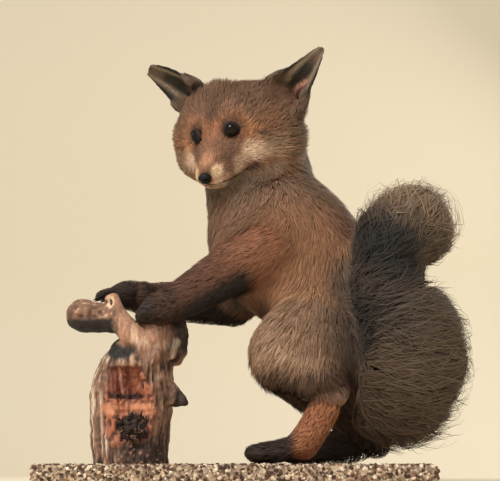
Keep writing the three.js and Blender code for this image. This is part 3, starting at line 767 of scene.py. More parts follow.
paint(head_share * smoothstep(-4, -34, hx) * smoothstep(-16, 8, hz), (108, 80, 61))
paint(head_share * patch(head_mirrored, (-16, 0, 18), (26, 10, 18)) * 0.9, (100, 71, 53))
face((-45, 58, -30), (34, 34, 34), (124, 104, 85))
face((2, 34, -6), (22, 18, 16), (164, 114, 80), 0.8)
face((-8, 26, 10), (16, 14, 10), (150, 104, 76), 0.7)
face((4, 12, 6), (16, 12, 14), (150, 103, 76), 0.7)
face((12, 4, 2), (26, 9, 12), (156, 106, 79))
face((40, 0, -14), (18, 11, 10), (188, 136, 105))
face((24, 20, -18), (22, 9, 15), (112, 80, 64), 0.95)
face((9, 25, -10), (10, 7, 8), (96, 66, 53), 0.9)
face((2, 40, -17), (14, 10, 7), (198, 146, 108), 0.8)
face((7, 42, -28), (18, 18, 14), (210, 176, 152))
face((9, 35, -23), (12, 9, 9), (230, 198, 170), 0.9)
face((20, 27, -31), (12, 10, 9), (186, 154, 128), 0.9)
face((-10, 57, -30), (20, 18, 16), (160, 132, 108), 0.7)
face((46, 12, -27), (13, 8, 9), (226, 192, 156))
face((40, 15, -36), (15, 9, 6), (190, 150, 124), 0.8)
face((30, 20, -34), (7, 6, 9), (120, 88, 74), 0.7)
face((15, 35, -42), (11, 9, 5), (56, 40, 36))
face((46, 6, -44), (16, 14, 6), (200, 164, 142))
face((24, 28, -50), (26, 20, 6), (118, 98, 84), 0.8)
face((0, 50, -50), (16, 16, 8), (158, 132, 116), 0.8)
face((-20, 72, -54), (24, 18, 20), (138, 118, 99), 0.6)
face((-62, 66, 2), (16, 22, 20), (112, 90, 73), 0.7)
face_line([(-1, 36, -9), (-5, 46, -14), (-9, 54, -18)], 1.5, (40, 28, 24), 1.0)
face((0, 44, -8), (14, 10, 8), (170, 117, 84), 0.7)
face_line([(-9, 12, 10), (-14, 22, 15), (-20, 30, 17)], 2.2, (84, 58, 45), 0.8)
face_line([(-4, 6, 10), (-12, 8, 17), (-22, 10, 22)], 2.0, (88, 60, 46), 0.8)
face((45, 9, -36), (13, 9, 5), (226, 188, 162))
face((26, 24, -37), (9, 7, 5), (196, 162, 134), 0.8)
face((-2, 62, -38), (20, 16, 14), (176, 148, 122), 0.6)
face_line(MOUTH_LINE, 1.6, (34, 24, 22), 0.95)
face_line([(8, 13, 2), (13, 17, -6), (18, 19, -12)], 2.2, (92, 64, 52), 0.6)
# painted shade along the crease behind the jaw, and painted shadow under the jaw, laid on the neck
CHIN_PAINTED_SHADOW = [(42, 4, -48), (38, 22, -52), (32, 42, -54), (22, 56, -58), (10, 70, -62)]
paint(np.exp(-(near_distance(head_mirrored, JAW_CREASE[:4]) / 6.0) ** 2) * 0.95, (34, 29, 27))
paint(np.exp(-(near_distance(head_mirrored, CHIN_PAINTED_SHADOW) / 7.0) ** 2) * (1 - head_share), (30, 25, 23))
# a dark ring round each eye: the dark lids, with painted shade in the sockets
for centre in eye_places.values():
    off_glass = (np.linalg.norm(skin_points - centre, axis=1) - EYE_RADIUS) / MM
    paint(head_share * smoothstep(3.5, 1.2, off_glass) * 0.6, (56, 38, 31))
mottle = np.random.default_rng(2).normal(0, 1, len(skin_points))
mottle = web.smooth(mottle, 2)
colour = colour * np.exp(0.32 * mottle * head_share)[:, None]

# %% Ear markings
EAR_FRONTS = {"left": (0.72, 0.1, 0.35), "right": (0.8, -0.15, 0.1)}
EAR_HALF_WIDTHS = {"left": (26, 5), "right": (23, 10)}
for side, sign in (("left", 1), ("right", -1)):
    root, tip = np.array(EAR_ROOTS[side], float), np.array(EAR_TIPS[side], float)
    axis = unit(tip - root)
    opening = np.array(EAR_FRONTS[side])
    opening = unit(opening - axis * (opening @ axis))
    across = np.cross(axis, opening)
    across = across * np.sign(across @ np.array([0, sign, -1.0]))
    run = (head_place - root) @ axis / np.linalg.norm(tip - root)
    half = mix(*EAR_HALF_WIDTHS[side], np.clip(run, 0, 1))
    place = (head_place - root) @ across / half
    faces_front = smoothstep(0.0, 0.35, skin_normals @ (opening @ HEAD_AXES))
    ear = smoothstep(0.3, 0.8, share_of("ear_" + side))
    paint(ear, (70, 58, 50))
    paint(ear * faces_front, (112, 92, 77))
    # painted shade in the hollow of each ear
    cup = ear * faces_front * smoothstep(0.04, 0.16, run) * smoothstep(0.8, 0.62, run)
    paint(cup * smoothstep(0.62, 0.4, np.abs(place + 0.08)), (50, 45, 38))
    if side == "left":
        for offset, breadth, shade in ((0.02, 0.13, (234, 176, 152)), (0.24, 0.12, (84, 34, 28))):
            fold = np.exp(-((place - offset - 0.9 * run) / breadth) ** 2)
            paint(ear * faces_front * fold * smoothstep(0.5, 0.4, run), shade)
    else:
        # painted shade in the hollow of the far ear
        paint(ear * faces_front * smoothstep(0.0, 0.3, place) * smoothstep(0.62, 0.35, run), (48, 42, 37))
    paint(ear * np.exp(-((np.abs(place) - 0.66) / 0.12) ** 2) * faces_front * 0.8, (190, 168, 146))
    paint(ear * smoothstep(0.78, 0.92, np.abs(place)), (30, 25, 23))
    paint(ear * smoothstep(0.93, 1.02, run), (34, 28, 26))
    fluff = ear * smoothstep(0.36, 0.1, run)
    coat["length"] = mix(coat["length"], 13, fluff)
    coat["depth"] = mix(coat["depth"], 4, fluff)
    coat["density"] = mix(coat["density"], 70, fluff)
    paint(fluff * smoothstep(0.3, 0.9, np.abs(place)), (112, 90, 73))
colour = web.smooth(colour, 1)
print("markings painted")

# %% [markdown]
# ## Where the fur stands out
# Fur lies flat where it rubs and stands where it is dry and free: on the crown, along the cheeks, under the
# knee, over the toes and at the end of the brush. In the waist of the brush it is pressed flat.

# %% How high the fur stands
def stand(where, height):
    """Raises the coat's height by a share of its depth."""
    coat["lift"] = coat["lift"] + height * where


stand(head_share * patch(head_place, (-40, -20, 26), (34, 44, 24)), 1.0)
stand(head_share * patch(head_mirrored, (-30, 66, -28), (26, 18, 36)), 0.45)
stand(head_share * patch(head_mirrored, (-24, 60, -6), (22, 16, 24)), 0.5)
stand(share_of("thigh_left") * smoothstep(66, 34, bx) * smoothstep(160, 124, bz), 0.7)
stand(share_of("tail") * smoothstep(90, 62, bz), 0.6)
toes = share_of("hind_foot_left") * smoothstep(62, 52, bx)
stand(toes, 1.6)
coat["length"] = mix(coat["length"], 15, toes)
paws = share_of("forepaw")
stand(share_of("forepaw_left"), 0.8)
stand(share_of("forepaw_right"), 0.1)
coat["length"] = mix(coat["length"], 9, paws)
heel = share_of("hind_foot_right") * smoothstep(100, 130, bx)
stand(heel, 2.6)
coat["length"] = mix(coat["length"], 16, heel)
waist = share_of("tail") * patch(body, (184, -52, 206), (36, 60, 30))
coat["lift"] = mix(coat["lift"], 0.35, waist)
coat["length"] = mix(coat["length"], 20, waist)
print("coat lift", coat["lift"].min().round(2), "to", coat["lift"].max().round(2))

# %% [markdown]
# ## Eyes and lids
# The eyes are glass, nearly black, and bulge a little at the front, where they catch the lamp. Round each
# one the hide is tucked into a thick dark rim. The rim is a closed ring with seven turns of points: inside
# the glass, over its edge, up to the crest of the lid and down again under the skin.

# %% Glass eyes
def ball_points(columns, rows):
    """Unit directions of a ball, pole first and last, and its triangles."""
    points = [(0, 0, 1)]
    for i in range(1, rows):
        polar = math.pi * i / rows
        for j in range(columns):
            turn = 2 * math.pi * j / columns
            points.append((math.sin(polar) * math.cos(turn), math.sin(polar) * math.sin(turn),
                           math.cos(polar)))
    points.append((0, 0, -1))
    faces = []
    for j in range(columns):
        nxt = (j + 1) % columns
        faces.append((0, 1 + j, 1 + nxt))
        for i in range(rows - 2):
            a, b = 1 + i * columns + j, 1 + i * columns + nxt
            faces += [(a, a + columns, b + columns), (a, b + columns, b)]
        last = 1 + (rows - 2) * columns
        faces.append((len(points) - 1, last + nxt, last + j))
    return np.array(points), np.array(faces)


def glass_material():
    """Dark brown glass: a near black iris seen through a clear front."""
    material, shader, new, link = new_finish("dark_glass")
    where = new("ShaderNodeTexCoord")
    flecks = tuned(new("ShaderNodeTexNoise"), Scale=420)
    tint = new("ShaderNodeValToRGB")
    tint.color_ramp.elements[0].color = (0.004, 0.003, 0.003, 1)
    tint.color_ramp.elements[1].color = (0.016, 0.010, 0.007, 1)
    link(where.outputs["Object"], flecks.inputs["Vector"])
    link(flecks.outputs["Fac"], tint.inputs["Fac"])
    link(tint.outputs["Color"], shader.inputs["Base Color"])
    shader.inputs["Roughness"].default_value = 0.05
    shader.inputs["Specular IOR Level"].default_value = 0.15
    return material


DARK_GLASS = glass_material()
CORNEA_REACH = math.radians(40)
CORNEA_HEIGHT = 0.7 * MM
ball, ball_faces = ball_points(48, 30)
for side, centre in eye_places.items():
    out, outer, up = eye_axes(side)
    turned = ball[:, :1] * outer + ball[:, 1:2] * up + ball[:, 2:] * out
    bulge = np.exp(-(np.arccos(np.clip(ball[:, 2], -1, 1)) / CORNEA_REACH) ** 2) * CORNEA_HEIGHT
    sign = LID_AXIS[side]
    surface = centre + turned * (EYE_RADIUS - 0.4 * MM + bulge)[:, None]
    eye = object_from("glass_eye_" + side, surface, ball_faces[:, ::sign])
    eye.data.materials.append(DARK_GLASS)
    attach(eye, "root")
    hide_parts("eye_" + side)

# %% Lids
LID_RINGS = [
    # degrees beyond the opening, height over the glass in millimetres
    (-3, -1.2), (0, 0.35), (5, 1.0), (11, 1.15), (20, 0.8), (34, -0.6), (26, -3.0),
]
LID_STEPS = 56
lid_points, lid_faces, lid_darkness = [], [], []
for side, centre in eye_places.items():
    out, outer, up = eye_axes(side)
    turn = np.arange(LID_STEPS) / LID_STEPS * 2 * math.pi
    across, upward = np.cos(turn), np.sin(turn)
    edge = lid_angle(across, upward)
    start = sum(len(p) for p in lid_points)
    for beyond, height in LID_RINGS:
        widen = 1 + 0.9 * np.maximum(-upward, 0) ** 2 + 0.5 * np.maximum(-across, 0) ** 4
        angle = edge + math.radians(beyond) * widen
        aim = (np.cos(angle)[:, None] * out
               + np.sin(angle)[:, None] * (across[:, None] * outer + upward[:, None] * up))
        lid_points.append(centre + aim * (EYE_RADIUS + height * MM))
        lid_darkness.append(np.full(LID_STEPS, smoothstep(30, 12, beyond) if beyond > 0 else 1.0))
    rings = len(LID_RINGS)
    for i in range(rings):
        for j in range(LID_STEPS):
            nxt = (j + 1) % LID_STEPS
            a, b = start + i * LID_STEPS + j, start + i * LID_STEPS + nxt
            c, d = start + (i + 1) % rings * LID_STEPS + nxt, start + (i + 1) % rings * LID_STEPS + j
            quad = [(a, b, c), (a, c, d)]
            lid_faces += quad if LID_AXIS[side] > 0 else [f[::-1] for f in quad]
lid_points = np.concatenate(lid_points)
lid_faces = np.array(lid_faces)
lid_darkness = np.concatenate(lid_darkness)
print("lids", len(lid_faces), "triangles")

# %% [markdown]
# ## Nose and lips
# The nose pad is bare, black and pebbled, wider above than below, with a nostril curling in from each side
# and a groove down its middle. The dark line of the lips shows along the mouth where the fur parts.

# %% Nose pad
NOSE_HALF = np.array([6.0, 6.9, 6.6])
NOSE_MIDDLE = np.array([53.6, 0, -28.6])
ball, ball_faces = ball_points(64, 44)
nose_way = ball.copy()
x, y, z = nose_way.T
shaped = nose_way * NOSE_HALF
shaped[:, 1] *= 1 + 0.16 * smoothstep(-0.4, 0.7, z) - 0.30 * smoothstep(-0.1, -0.9, z)
shaped[:, 0] -= 1.4 * smoothstep(0.2, -1.0, z)
nostril = soft_oval(np.column_stack([x, np.abs(y), z]), (0.80, 0.56, -0.02), (0.5, 0.22, 0.22))
wing = soft_oval(np.column_stack([x, np.abs(y), z]), (0.55, 0.84, -0.22), (0.5, 0.24, 0.13))
groove = np.exp(-(y / 0.075) ** 2) * smoothstep(0.35, -0.1, z) * smoothstep(-0.1, 0.3, x)
dent = 3.0 * nostril + 1.6 * wing + 0.9 * groove
shaped -= nose_way * dent[:, None]
nose = object_from("nose_pad", from_head(NOSE_MIDDLE + shaped), ball_faces)
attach(nose, "root")
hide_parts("nose")


def pebbled_material(name, dark, pale, scale, roughness, height):
    """Bare leathery skin: small cells in the colour and in the bump."""
    material, shader, new, link = new_finish(name)
    where = new("ShaderNodeTexCoord")
    cells = tuned(new("ShaderNodeTexVoronoi"), Scale=scale)
    tint = new("ShaderNodeValToRGB")
    tint.color_ramp.elements[0].color = (*pale, 1)
    tint.color_ramp.elements[1].color = (*dark, 1)
    tint.color_ramp.elements[1].position = 0.7
    bump = new("ShaderNodeBump")
    bump.invert = True
    bump.inputs["Strength"].default_value = 0.7
    bump.inputs["Distance"].default_value = height
    link(where.outputs["Object"], cells.inputs["Vector"])
    link(cells.outputs["Distance"], tint.inputs["Fac"])
    link(cells.outputs["Distance"], bump.inputs["Height"])
    link(tint.outputs["Color"], shader.inputs["Base Color"])
    link(bump.outputs["Normal"], shader.inputs["Normal"])
    shader.inputs["Roughness"].default_value = roughness
    shader.inputs["Specular IOR Level"].default_value = 0.2
    return material


nose.data.materials.append(pebbled_material("nose_leather", (0.004, 0.004, 0.004), (0.012, 0.010, 0.010),
                                             1100, 0.5, 0.0004))

# %% Lips
def tube(line, radii, sides):
    """A closed tube through a line of points, rounded down to a point at both ends."""
    line = np.array(line, float)
    ahead = unit(np.gradient(line, axis=0))
    helper = unit(np.cross(ahead, (0.2, 0.3, 0.93)))
    other = np.cross(ahead, helper)
    turn = np.arange(sides) / sides * 2 * math.pi
    radii = np.asarray(radii, float)
    around = np.cos(turn)[:, None] * helper[:, None] + np.sin(turn)[:, None] * other[:, None]
    rings = line[:, None] + around * radii[:, None, None]
    points = np.concatenate([line[:1] - ahead[:1] * radii[0], rings.reshape(-1, 3),
                             line[-1:] + ahead[-1:] * radii[-1]])
    faces = []
    for j in range(sides):
        nxt = (j + 1) % sides
        faces.append((0, 1 + nxt, 1 + j))
        for i in range(len(line) - 1):
            a, b = 1 + i * sides + j, 1 + i * sides + nxt
            faces += [(a, b, b + sides), (a, b + sides, a + sides)]
        last = 1 + (len(line) - 1) * sides
        faces.append((len(points) - 1, last + j, last + nxt))
    return points, np.array(faces)


lip_points, lip_faces = [], []
skin_tree = BVHTree.FromPolygons(skin_points.tolist(), skin_triangles.tolist())
for sign in (1, -1):
    line = np.array(MOUTH_LINE, float) * (1, sign, 1)
    steps = np.linspace(0, len(line) - 1, 33)
    smooth_line = np.column_stack([np.interp(steps, np.arange(len(line)), line[:, i]) for i in range(3)])
    smooth_line[1:-1] = (smooth_line[:-2] + 2 * smooth_line[1:-1] + smooth_line[2:]) / 4
    on_face = np.array([skin_tree.find_nearest(Vector(p))[0] for p in from_head(smooth_line)])
    share = np.linspace(0, 1, len(on_face))
    radii = (1.25 + 1.2 * smoothstep(0.75, 0.95, share) * smoothstep(1.0, 0.93, share) + 0.3 * share) * MM
    points, faces = tube(on_face, radii, 8)
    lip_faces.append(faces + sum(len(p) for p in lip_points))
    lip_points.append(points)
lips = object_from("lips", np.concatenate(lip_points), np.concatenate(lip_faces))
lips.data.materials.append(pebbled_material("lip_leather", (0.010, 0.007, 0.006), (0.035, 0.022, 0.018),
                                             900, 0.4, 0.0002))
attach(lips, "root")

# %% Claws
CLAWS = [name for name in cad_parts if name.startswith("claw_")]
claw_horn = pebbled_material("dark_horn", (0.010, 0.008, 0.007), (0.05, 0.038, 0.03), 700, 0.4, 0.0001)
for name in CLAWS:
    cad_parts[name].data.materials.clear()
    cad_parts[name].data.materials.append(claw_horn)
print("claws", len(CLAWS))

# %% [markdown]
# ## The coat
# A real fox carries thousands of hairs on each square centimetre. They stick together in small pointed
# locks, and the locks are what the eye sees, so each lock is modelled as one thin closed spike with its
# root sunk in the skin: ten triangles on most of the body, and more on the brush, where the locks bend. The
# middle line is walked over the skin along the flow, rises to the height of the coat, and then leans towards
# a leading lock nearby, which gives the coat its clumps. Arrays make all the locks of one part at once,
# because there are far too many to make one by one.

# %% Places for the locks
corner_points = skin_points[skin_triangles]
triangle_area = np.linalg.norm(np.cross(corner_points[:, 1] - corner_points[:, 0],
                                        corner_points[:, 2] - corner_points[:, 0]), axis=1) / 2
main_part = np.array(PARTS)[part_share[skin_triangles].mean(axis=1).argmax(axis=1)]
triangle_middle = corner_points.mean(axis=1)
triangle_density = coat["density"][skin_triangles].mean(axis=1)
SQUARE_CM = 1e-4


def sow(rng, ground, thinning=1.0):
    """Random places on some of the skin's triangles: each one's triangle and its shares of the corners."""
    weight = triangle_area * triangle_density * ground
    total = np.cumsum(weight)
    count = int(total[-1] / SQUARE_CM * thinning)
    spots = (np.arange(count) + rng.random(count)) / count * total[-1]
    chosen = np.searchsorted(total, spots).clip(0, len(total) - 1)
    u, v = rng.random(count), rng.random(count)
    over = u + v > 1
    u[over], v[over] = 1 - u[over], 1 - v[over]
    return chosen, np.column_stack([1 - u - v, u, v])


def read(field, chosen, shares):
    """A skin field's value at sown places."""
    corners = field[skin_triangles[chosen]]
    if corners.ndim == 2:
        return (corners * shares).sum(axis=1)
    return (corners * shares[:, :, None]).sum(axis=1)


def on_skin(points):
    """The nearest places on the skin, with the normals and the flow there."""
    hits = [skin_tree.find_nearest(p) for p in points.tolist()]
    place = np.array([hit[0] for hit in hits])
    corners = skin_triangles[[hit[2] for hit in hits]]
    return place, unit(skin_normals[corners].sum(axis=1)), unit(flow[corners].sum(axis=1))


# %% The middle lines of the locks
ROOT_SINK = 0.5 * MM
LEADERS = 7


def grow(rng, chosen, shares, bends, stretch=1.0, ruffle=0.13, clump=0.45, stand=1.0):
    """Middle lines for sown locks: an array of shape (locks, bends + 1, 3), and the normals along it."""
    root = read(skin_points, chosen, shares)
    normal = unit(read(skin_normals, chosen, shares))
    heading = unit(read(flow, chosen, shares))
    count = len(root)
    length = read(coat["length"], chosen, shares) * MM * stretch * rng.uniform(0.75, 1.2, count)
    depth = read(coat["depth"] * coat["lift"], chosen, shares) * MM * stand * rng.uniform(0.7, 1.05, count)
    curl = read(coat["curl"], chosen, shares)
    turn = rng.normal(0, 1, count) * ruffle
    sway = rng.normal(0, 1, count) * curl
    line, ups = [root - normal * ROOT_SINK], [normal]
    ground = root
    rise_before = 0.0
    for i in range(1, bends + 1):
        t = i / bends
        rise = math.sin(t * math.pi / 2) ** 0.85
        across = np.cross(normal, heading)
        angle = (turn + sway * (i - 1))[:, None]
        step_way = heading * np.cos(angle) + across * np.sin(angle)
        climb = depth * (rise - rise_before)
        run = np.sqrt(np.maximum((length / bends) ** 2 - climb ** 2, (0.25 * length / bends) ** 2))
        ground, normal, skin_way = on_skin(ground + step_way * run[:, None])
        heading = unit(skin_way * 0.6 + heading * 0.4)
        heading = unit(heading - normal * (heading * normal).sum(axis=1)[:, None])
        line.append(ground + normal * (depth * rise)[:, None])
        ups.append(normal)
        rise_before = rise
    line, ups = np.stack(line, axis=1), np.stack(ups, axis=1)
    leaders = rng.choice(count, max(count // LEADERS, 1), replace=False)
    tree = KDTree(len(leaders))
    for i, leader in enumerate(leaders):
        tree.insert(line[leader, 0], i)
    tree.balance()
    leader = leaders[[tree.find(p)[1] for p in line[:, 0].tolist()]]
    drawn = clump * (np.arange(bends + 1) / bends) ** 1.3
    line = line + (line[leader] - line) * drawn[None, :, None]
    return line, ups


# %% Locks as closed spikes
def spikes(line, ups, width, thickness=0.55, taper=0.85):
    """Points and triangles of three-sided spikes, and each point's outward direction and place along."""
    count, rings = line.shape[0], line.shape[1] - 1
    ahead = unit(np.gradient(line, axis=1))
    side = unit(np.cross(ahead, ups))
    up = unit(np.cross(side, ahead))
    points, outward, along, across = [], [], [], []
    for i in range(rings):
        half = (width * 0.5 * (1 - taper * (i / rings) ** 1.6))[:, None]
        middle = line[:, i]
        for way_side, way_up, u in ((1, -0.25, 1.0), (0, 1, 0.5), (-1, -0.25, 0.0)):
            away = side[:, i] * way_side + up[:, i] * way_up * thickness
            points.append(middle + away * half)
            outward.append(unit(side[:, i] * way_side * 0.8 + up[:, i] * max(way_up, 0.2)))
            along.append(i / rings)
            across.append(u)
    points.append(line[:, -1])
    outward.append(up[:, -1])
    along.append(1.0)
    across.append(0.5)
    size = 3 * rings + 1
    pattern = [(0, 2, 1)]
    for i in range(rings - 1):
        for j in range(3):
            a, b = 3 * i + j, 3 * i + (j + 1) % 3
            pattern += [(a, b, b + 3), (a, b + 3, a + 3)]
    last = 3 * (rings - 1)
    pattern += [(last + j, last + (j + 1) % 3, size - 1) for j in range(3)]
    faces = (np.array(pattern)[None] + size * np.arange(count)[:, None, None]).reshape(-1, 3)
    points = np.stack(points, axis=1).reshape(-1, 3)
    outward = np.stack(outward, axis=1).reshape(-1, 3)
    first = points[np.array(pattern)]
    a, b, c = (first[:, i] - points[0] for i in range(3))
    volume = np.einsum("ij,ij->i", a, np.cross(b, c)).sum()
    if volume < 0:
        faces = faces[:, ::-1]
    return points, faces, outward, np.tile(along, count), np.tile(across, count), size


# %% A patch of the texture map for each lock
PATCH = 0.003


def unwrap(places, axis_start, axis_end):
    """Where places lie on a sleeve round an axis, both ways spread evenly over 0 to 1."""
    axis = unit(axis_end - axis_start)
    helper = unit(np.cross(axis, (0.31, 0.84, 0.45)))
    other = np.cross(axis, helper)
    from_start = places - axis_start
    turn = np.arctan2(from_start @ helper, from_start @ other)
    height = from_start @ axis
    ranks = [np.argsort(np.argsort(value)) / max(len(value) - 1, 1) for value in (turn, height)]
    return np.column_stack(ranks) * (1 - 4 * PATCH) + 2 * PATCH


def add_patches(mesh, faces, root_uv, along, across, size):
    """The OFBake map: one small patch for each lock, at its root's place on the sleeve."""
    start = np.repeat(root_uv, size, axis=0)
    spread = np.column_stack([across - 0.5, along - 0.5])
    base = along == 0
    spread[base, 1] -= 0.25 * (across[base] == 0.5)
    places = (start + spread * PATCH)[faces.ravel()]
    layer = mesh.uv_layers.new(name="OFBake")
    layer.data.foreach_set("uv", places.astype(np.float32).ravel())


# %% The coat's finish
def coat_material():
    """Hair: the colour painted on each lock, with faint bands and a soft broad shine."""
    material, shader, new, link = new_finish("fox_coat")
    painted = new("ShaderNodeAttribute")
    painted.attribute_name = "coat_colour"
    where = new("ShaderNodeTexCoord")
    bands = tuned(new("ShaderNodeTexNoise"), Scale=900, Detail=2)
    strength = tuned(new("ShaderNodeMapRange"), To_Min=0.78, To_Max=1.22)
    shaded = new("ShaderNodeVectorMath")
    shaded.operation = "SCALE"
    link(where.outputs["Object"], bands.inputs["Vector"])
    link(bands.outputs["Fac"], strength.inputs["Value"])
    link(painted.outputs["Color"], shaded.inputs[0])
    link(strength.outputs["Result"], shaded.inputs["Scale"])
    link(shaded.outputs["Vector"], shader.inputs["Base Color"])
    shader.inputs["Roughness"].default_value = 0.62
    shader.inputs["Specular IOR Level"].default_value = 0.28
    return material


COAT_FINISH = coat_material()
SOFT_NORMAL = 0.6
ROOT_SHADE = 0.62


def add_colours(mesh, colours):
    layer = mesh.attributes.new("coat_colour", "FLOAT_COLOR", "POINT")
    values = np.column_stack([np.clip(colours, 0, 1), np.ones(len(colours))])
    layer.data.foreach_set("color", values.astype(np.float32).ravel())


def add_normals(mesh, normals):
    """Shading directions for each point, stored free of the faces."""
    layer = mesh.attributes.new("custom_normal", "FLOAT_VECTOR", "POINT")
    layer.data.foreach_set("vector", unit(normals).astype(np.float32).ravel())


# %% One piece of coat
def coat_piece(name, seed, ground, axis, bends=2, tips=(1.0, 1.25), slot="fur_red", **shape):
    """Sows, grows and joins one part's locks as an object, painted from the skin's own colours."""
    rng = np.random.default_rng(seed)
    chosen, shares = sow(rng, ground, shape.pop("thinning", 1.0))
    width = read(coat["width"], chosen, shares) * MM * rng.uniform(0.7, 1.25, len(chosen))
    width = width * shape.pop("broad", 1.0)
    line, ups = grow(rng, chosen, shares, bends, **shape)
    points, faces, outward, along, across, size = spikes(line, ups, width)
    thing = object_from(name, points, faces)
    axis_start, axis_end = np.array(axis, float) * MM
    root_uv = unwrap(read(skin_points, chosen, shares), axis_start, axis_end)
    add_patches(thing.data, faces, root_uv, along, across, size)
    ground_colour = read(colour, chosen, shares)
    variety = np.exp(rng.normal(0, 0.16, (len(chosen), 1)) + rng.normal(0, 0.03, (len(chosen), 3)))
    each = np.repeat(ground_colour * variety, size, axis=0)
    tip_gain = np.repeat(rng.uniform(*tips, len(chosen)), size)
    shade = mix(ROOT_SHADE, tip_gain, smoothstep(0.0, 0.7, along))
    add_colours(thing.data, each * shade[:, None])
    soft = np.repeat(ups.mean(axis=1), size, axis=0)
    add_normals(thing.data, outward * (1 - SOFT_NORMAL) + soft * SOFT_NORMAL)
    thing.data.materials.append(COAT_FINISH)
    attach(thing, "root")
    print(name, len(chosen), "locks", len(faces), "triangles")
    return thing


def of_parts(*starts):
    return np.isin(main_part, [p for p in PARTS if p.startswith(starts)])

# %% Skin object
lid_nearest = KDTree(len(skin_points))
for i, point in enumerate(skin_points.tolist()):
    lid_nearest.insert(point, i)
lid_nearest.balance()
beside = [lid_nearest.find(p)[1] for p in lid_points.tolist()]
lid_colour = mix(colour[beside] * 0.8, linear((26, 20, 18)), lid_darkness)
skin = object_from("fox_skin", np.concatenate([skin_points, lid_points]),
                   np.concatenate([skin_triangles, lid_faces + len(skin_points)]))
# the skin is painted at 0.7 of the coat's colour: darker like the underfur, with painted shade under the
# locks
add_colours(skin.data, np.concatenate([colour * 0.7, lid_colour]))
skin.data.materials.append(COAT_FINISH)
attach(skin, "root")
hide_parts(*FLESH)

# %% Coat, part by part
near_side = triangle_middle[:, 1] < 0
head_cheek = to_head(triangle_middle)[:, 0] < -8
HEAD_AXIS = (from_head((-90, 0, -20)) / MM, from_head((60, 0, -20)) / MM)
TRUNK_AXIS = ((50, 0, 300), (116, 0, 90))
coat_piece("coat_face", 11, of_parts("head", "jaw") & ~head_cheek, HEAD_AXIS, ruffle=0.18)
coat_piece("coat_head", 12, of_parts("head", "jaw") & head_cheek, HEAD_AXIS, stand=1.15, thinning=0.86)
coat_piece("coat_ears", 13, of_parts("ear"), HEAD_AXIS, slot="fur_black")
coat_piece("coat_neck", 14, of_parts("neck"), ((20, 20, 380), (40, 0, 300)), slot="fur_grey", stand=1.1)
for seed, side, here, share in ((20, "left", near_side, 1.0), (30, "right", ~near_side, 0.78)):
    coat_piece("coat_trunk_" + side, seed, of_parts("trunk") & here, TRUNK_AXIS, thinning=share)
    coat_piece("coat_thigh_" + side, seed + 1, of_parts("thigh_" + side), (HIPS[side], KNEES[side]),
               clump=0.6, thinning=share)
    coat_piece("coat_hind_leg_" + side, seed + 2, of_parts("shank_" + side, "hind_foot_" + side),
               (HOCKS[side], TOE_TIPS[side]), thinning=share)
    coat_piece("coat_foreleg_" + side, seed + 3, of_parts("foreleg_upper_" + side, "foreleg_lower_" + side,
                                                          "forepaw_" + side),
               (SHOULDERS[side], PAW_TIPS[side]), thinning=share)

# %% [markdown]
# ## The brush
# The brush is the longest and loosest fur on the fox. Under it lies a thick coat like the rest. Over it
# stand thin curling wisps, sown thinly, which break its outline the way dried guard hair does.

# %% Brush and its wisps
BRUSH = (("low", "tail_base", ((172, -40, 60), (175, -50, 145))),
         ("middle", "tail_middle", ((175, -50, 120), (165, -50, 220))),
         ("tip", "tail_tip", ((162, -50, 190), (190, -46, 290))))
for number, (name, part, axis) in enumerate(BRUSH):
    coat_piece("coat_tail_" + name, 40 + number, of_parts(part), axis, bends=3, slot="fur_grey",
               thinning=0.88, ruffle=0.2, clump=0.72)
    coat_piece("wisps_tail_" + name, 50 + number, of_parts(part), axis, bends=6, slot="fur_grey",
               thinning=0.07, stretch=1.3, ruffle=0.45, clump=0.5, stand=1.3, broad=0.6, tips=(1.0, 1.3))

# %% [markdown]
# ## The stump
# The forepaws rest on an old weathered root stump. Its bark is furrowed along the grain and bleached in
# streaks, the front has rotted out to orange heartwood with a squared notch, and a polished limb and a
# pitted knob lean out to the left. One finer mesh takes the place of all these pieces, so that the bark
# runs from one to the next, and its furrows are pushed in along the grain.

# %% Smooth random values
def value_noise(places, size, seed):
    """Smooth random values between -1 and 1 that change over a size, for places in millimetres."""
    table = np.random.default_rng(seed).uniform(-1, 1, (32, 32, 32))
    cell = places / np.array(size, float)
    low = np.floor(cell).astype(int)
    t = cell - low
    t = t * t * (3 - 2 * t)
    total = np.zeros(len(places))
    for corner in np.ndindex(2, 2, 2):
        at = (low + corner) % 32
        weight = np.prod(np.where(np.array(corner) == 1, t, 1 - t), axis=1)
        total += weight * table[at[:, 0], at[:, 1], at[:, 2]]
    return total


def window(value, low, high, soft):
    """1 between two limits and 0 outside them, with soft edges."""
    return smoothstep(low - soft, low + soft, value) * smoothstep(high + soft, high - soft, value)


# %% Stump surface
STUMP_NODES = ["stump", "stump_limb", "stump_knob", "stump_bark", "stump_spur"]
STUMP_VOXEL = 1.5 * MM
wood_source = gathered(STUMP_NODES, NODE_SWELLING)[:2]
stump_points, stump_triangles = largest_shell(*remeshed(*wood_source, STUMP_VOXEL))
wood_web = Web(stump_triangles, len(stump_points))
stump_points = wood_web.smooth(stump_points, 3, 0.5)
wood = stump_points / MM
wx, wy, wz = wood.T
LIMB_LINE = [(-88, -22, 130), (-101, -27, 145), (-117, -26, 159), (-127, -23, 175), (-133, -21, 192)]
KNOB_LINE = [(-124, -19, 166), (-142, -14, 171), (-158, -11, 173), (-170, -9, 177)]
BARK_LINE = [(-66, -8, 128), (-60, -6, 150), (-63, -2, 168)]
limb_part = smoothstep(22, 15, near_distance(wood, LIMB_LINE)) * smoothstep(132, 146, wz)
knob_part = smoothstep(24, 18, near_distance(wood, KNOB_LINE)) * smoothstep(-120, -132, wx)
bark_part = smoothstep(24, 16, near_distance(wood, BARK_LINE)) * smoothstep(126, 140, wz)
bark_part = bark_part * smoothstep(-82, -74, wx)
polished = np.maximum(limb_part * (1 - knob_part), 0)
front = smoothstep(-8, -22, wy)
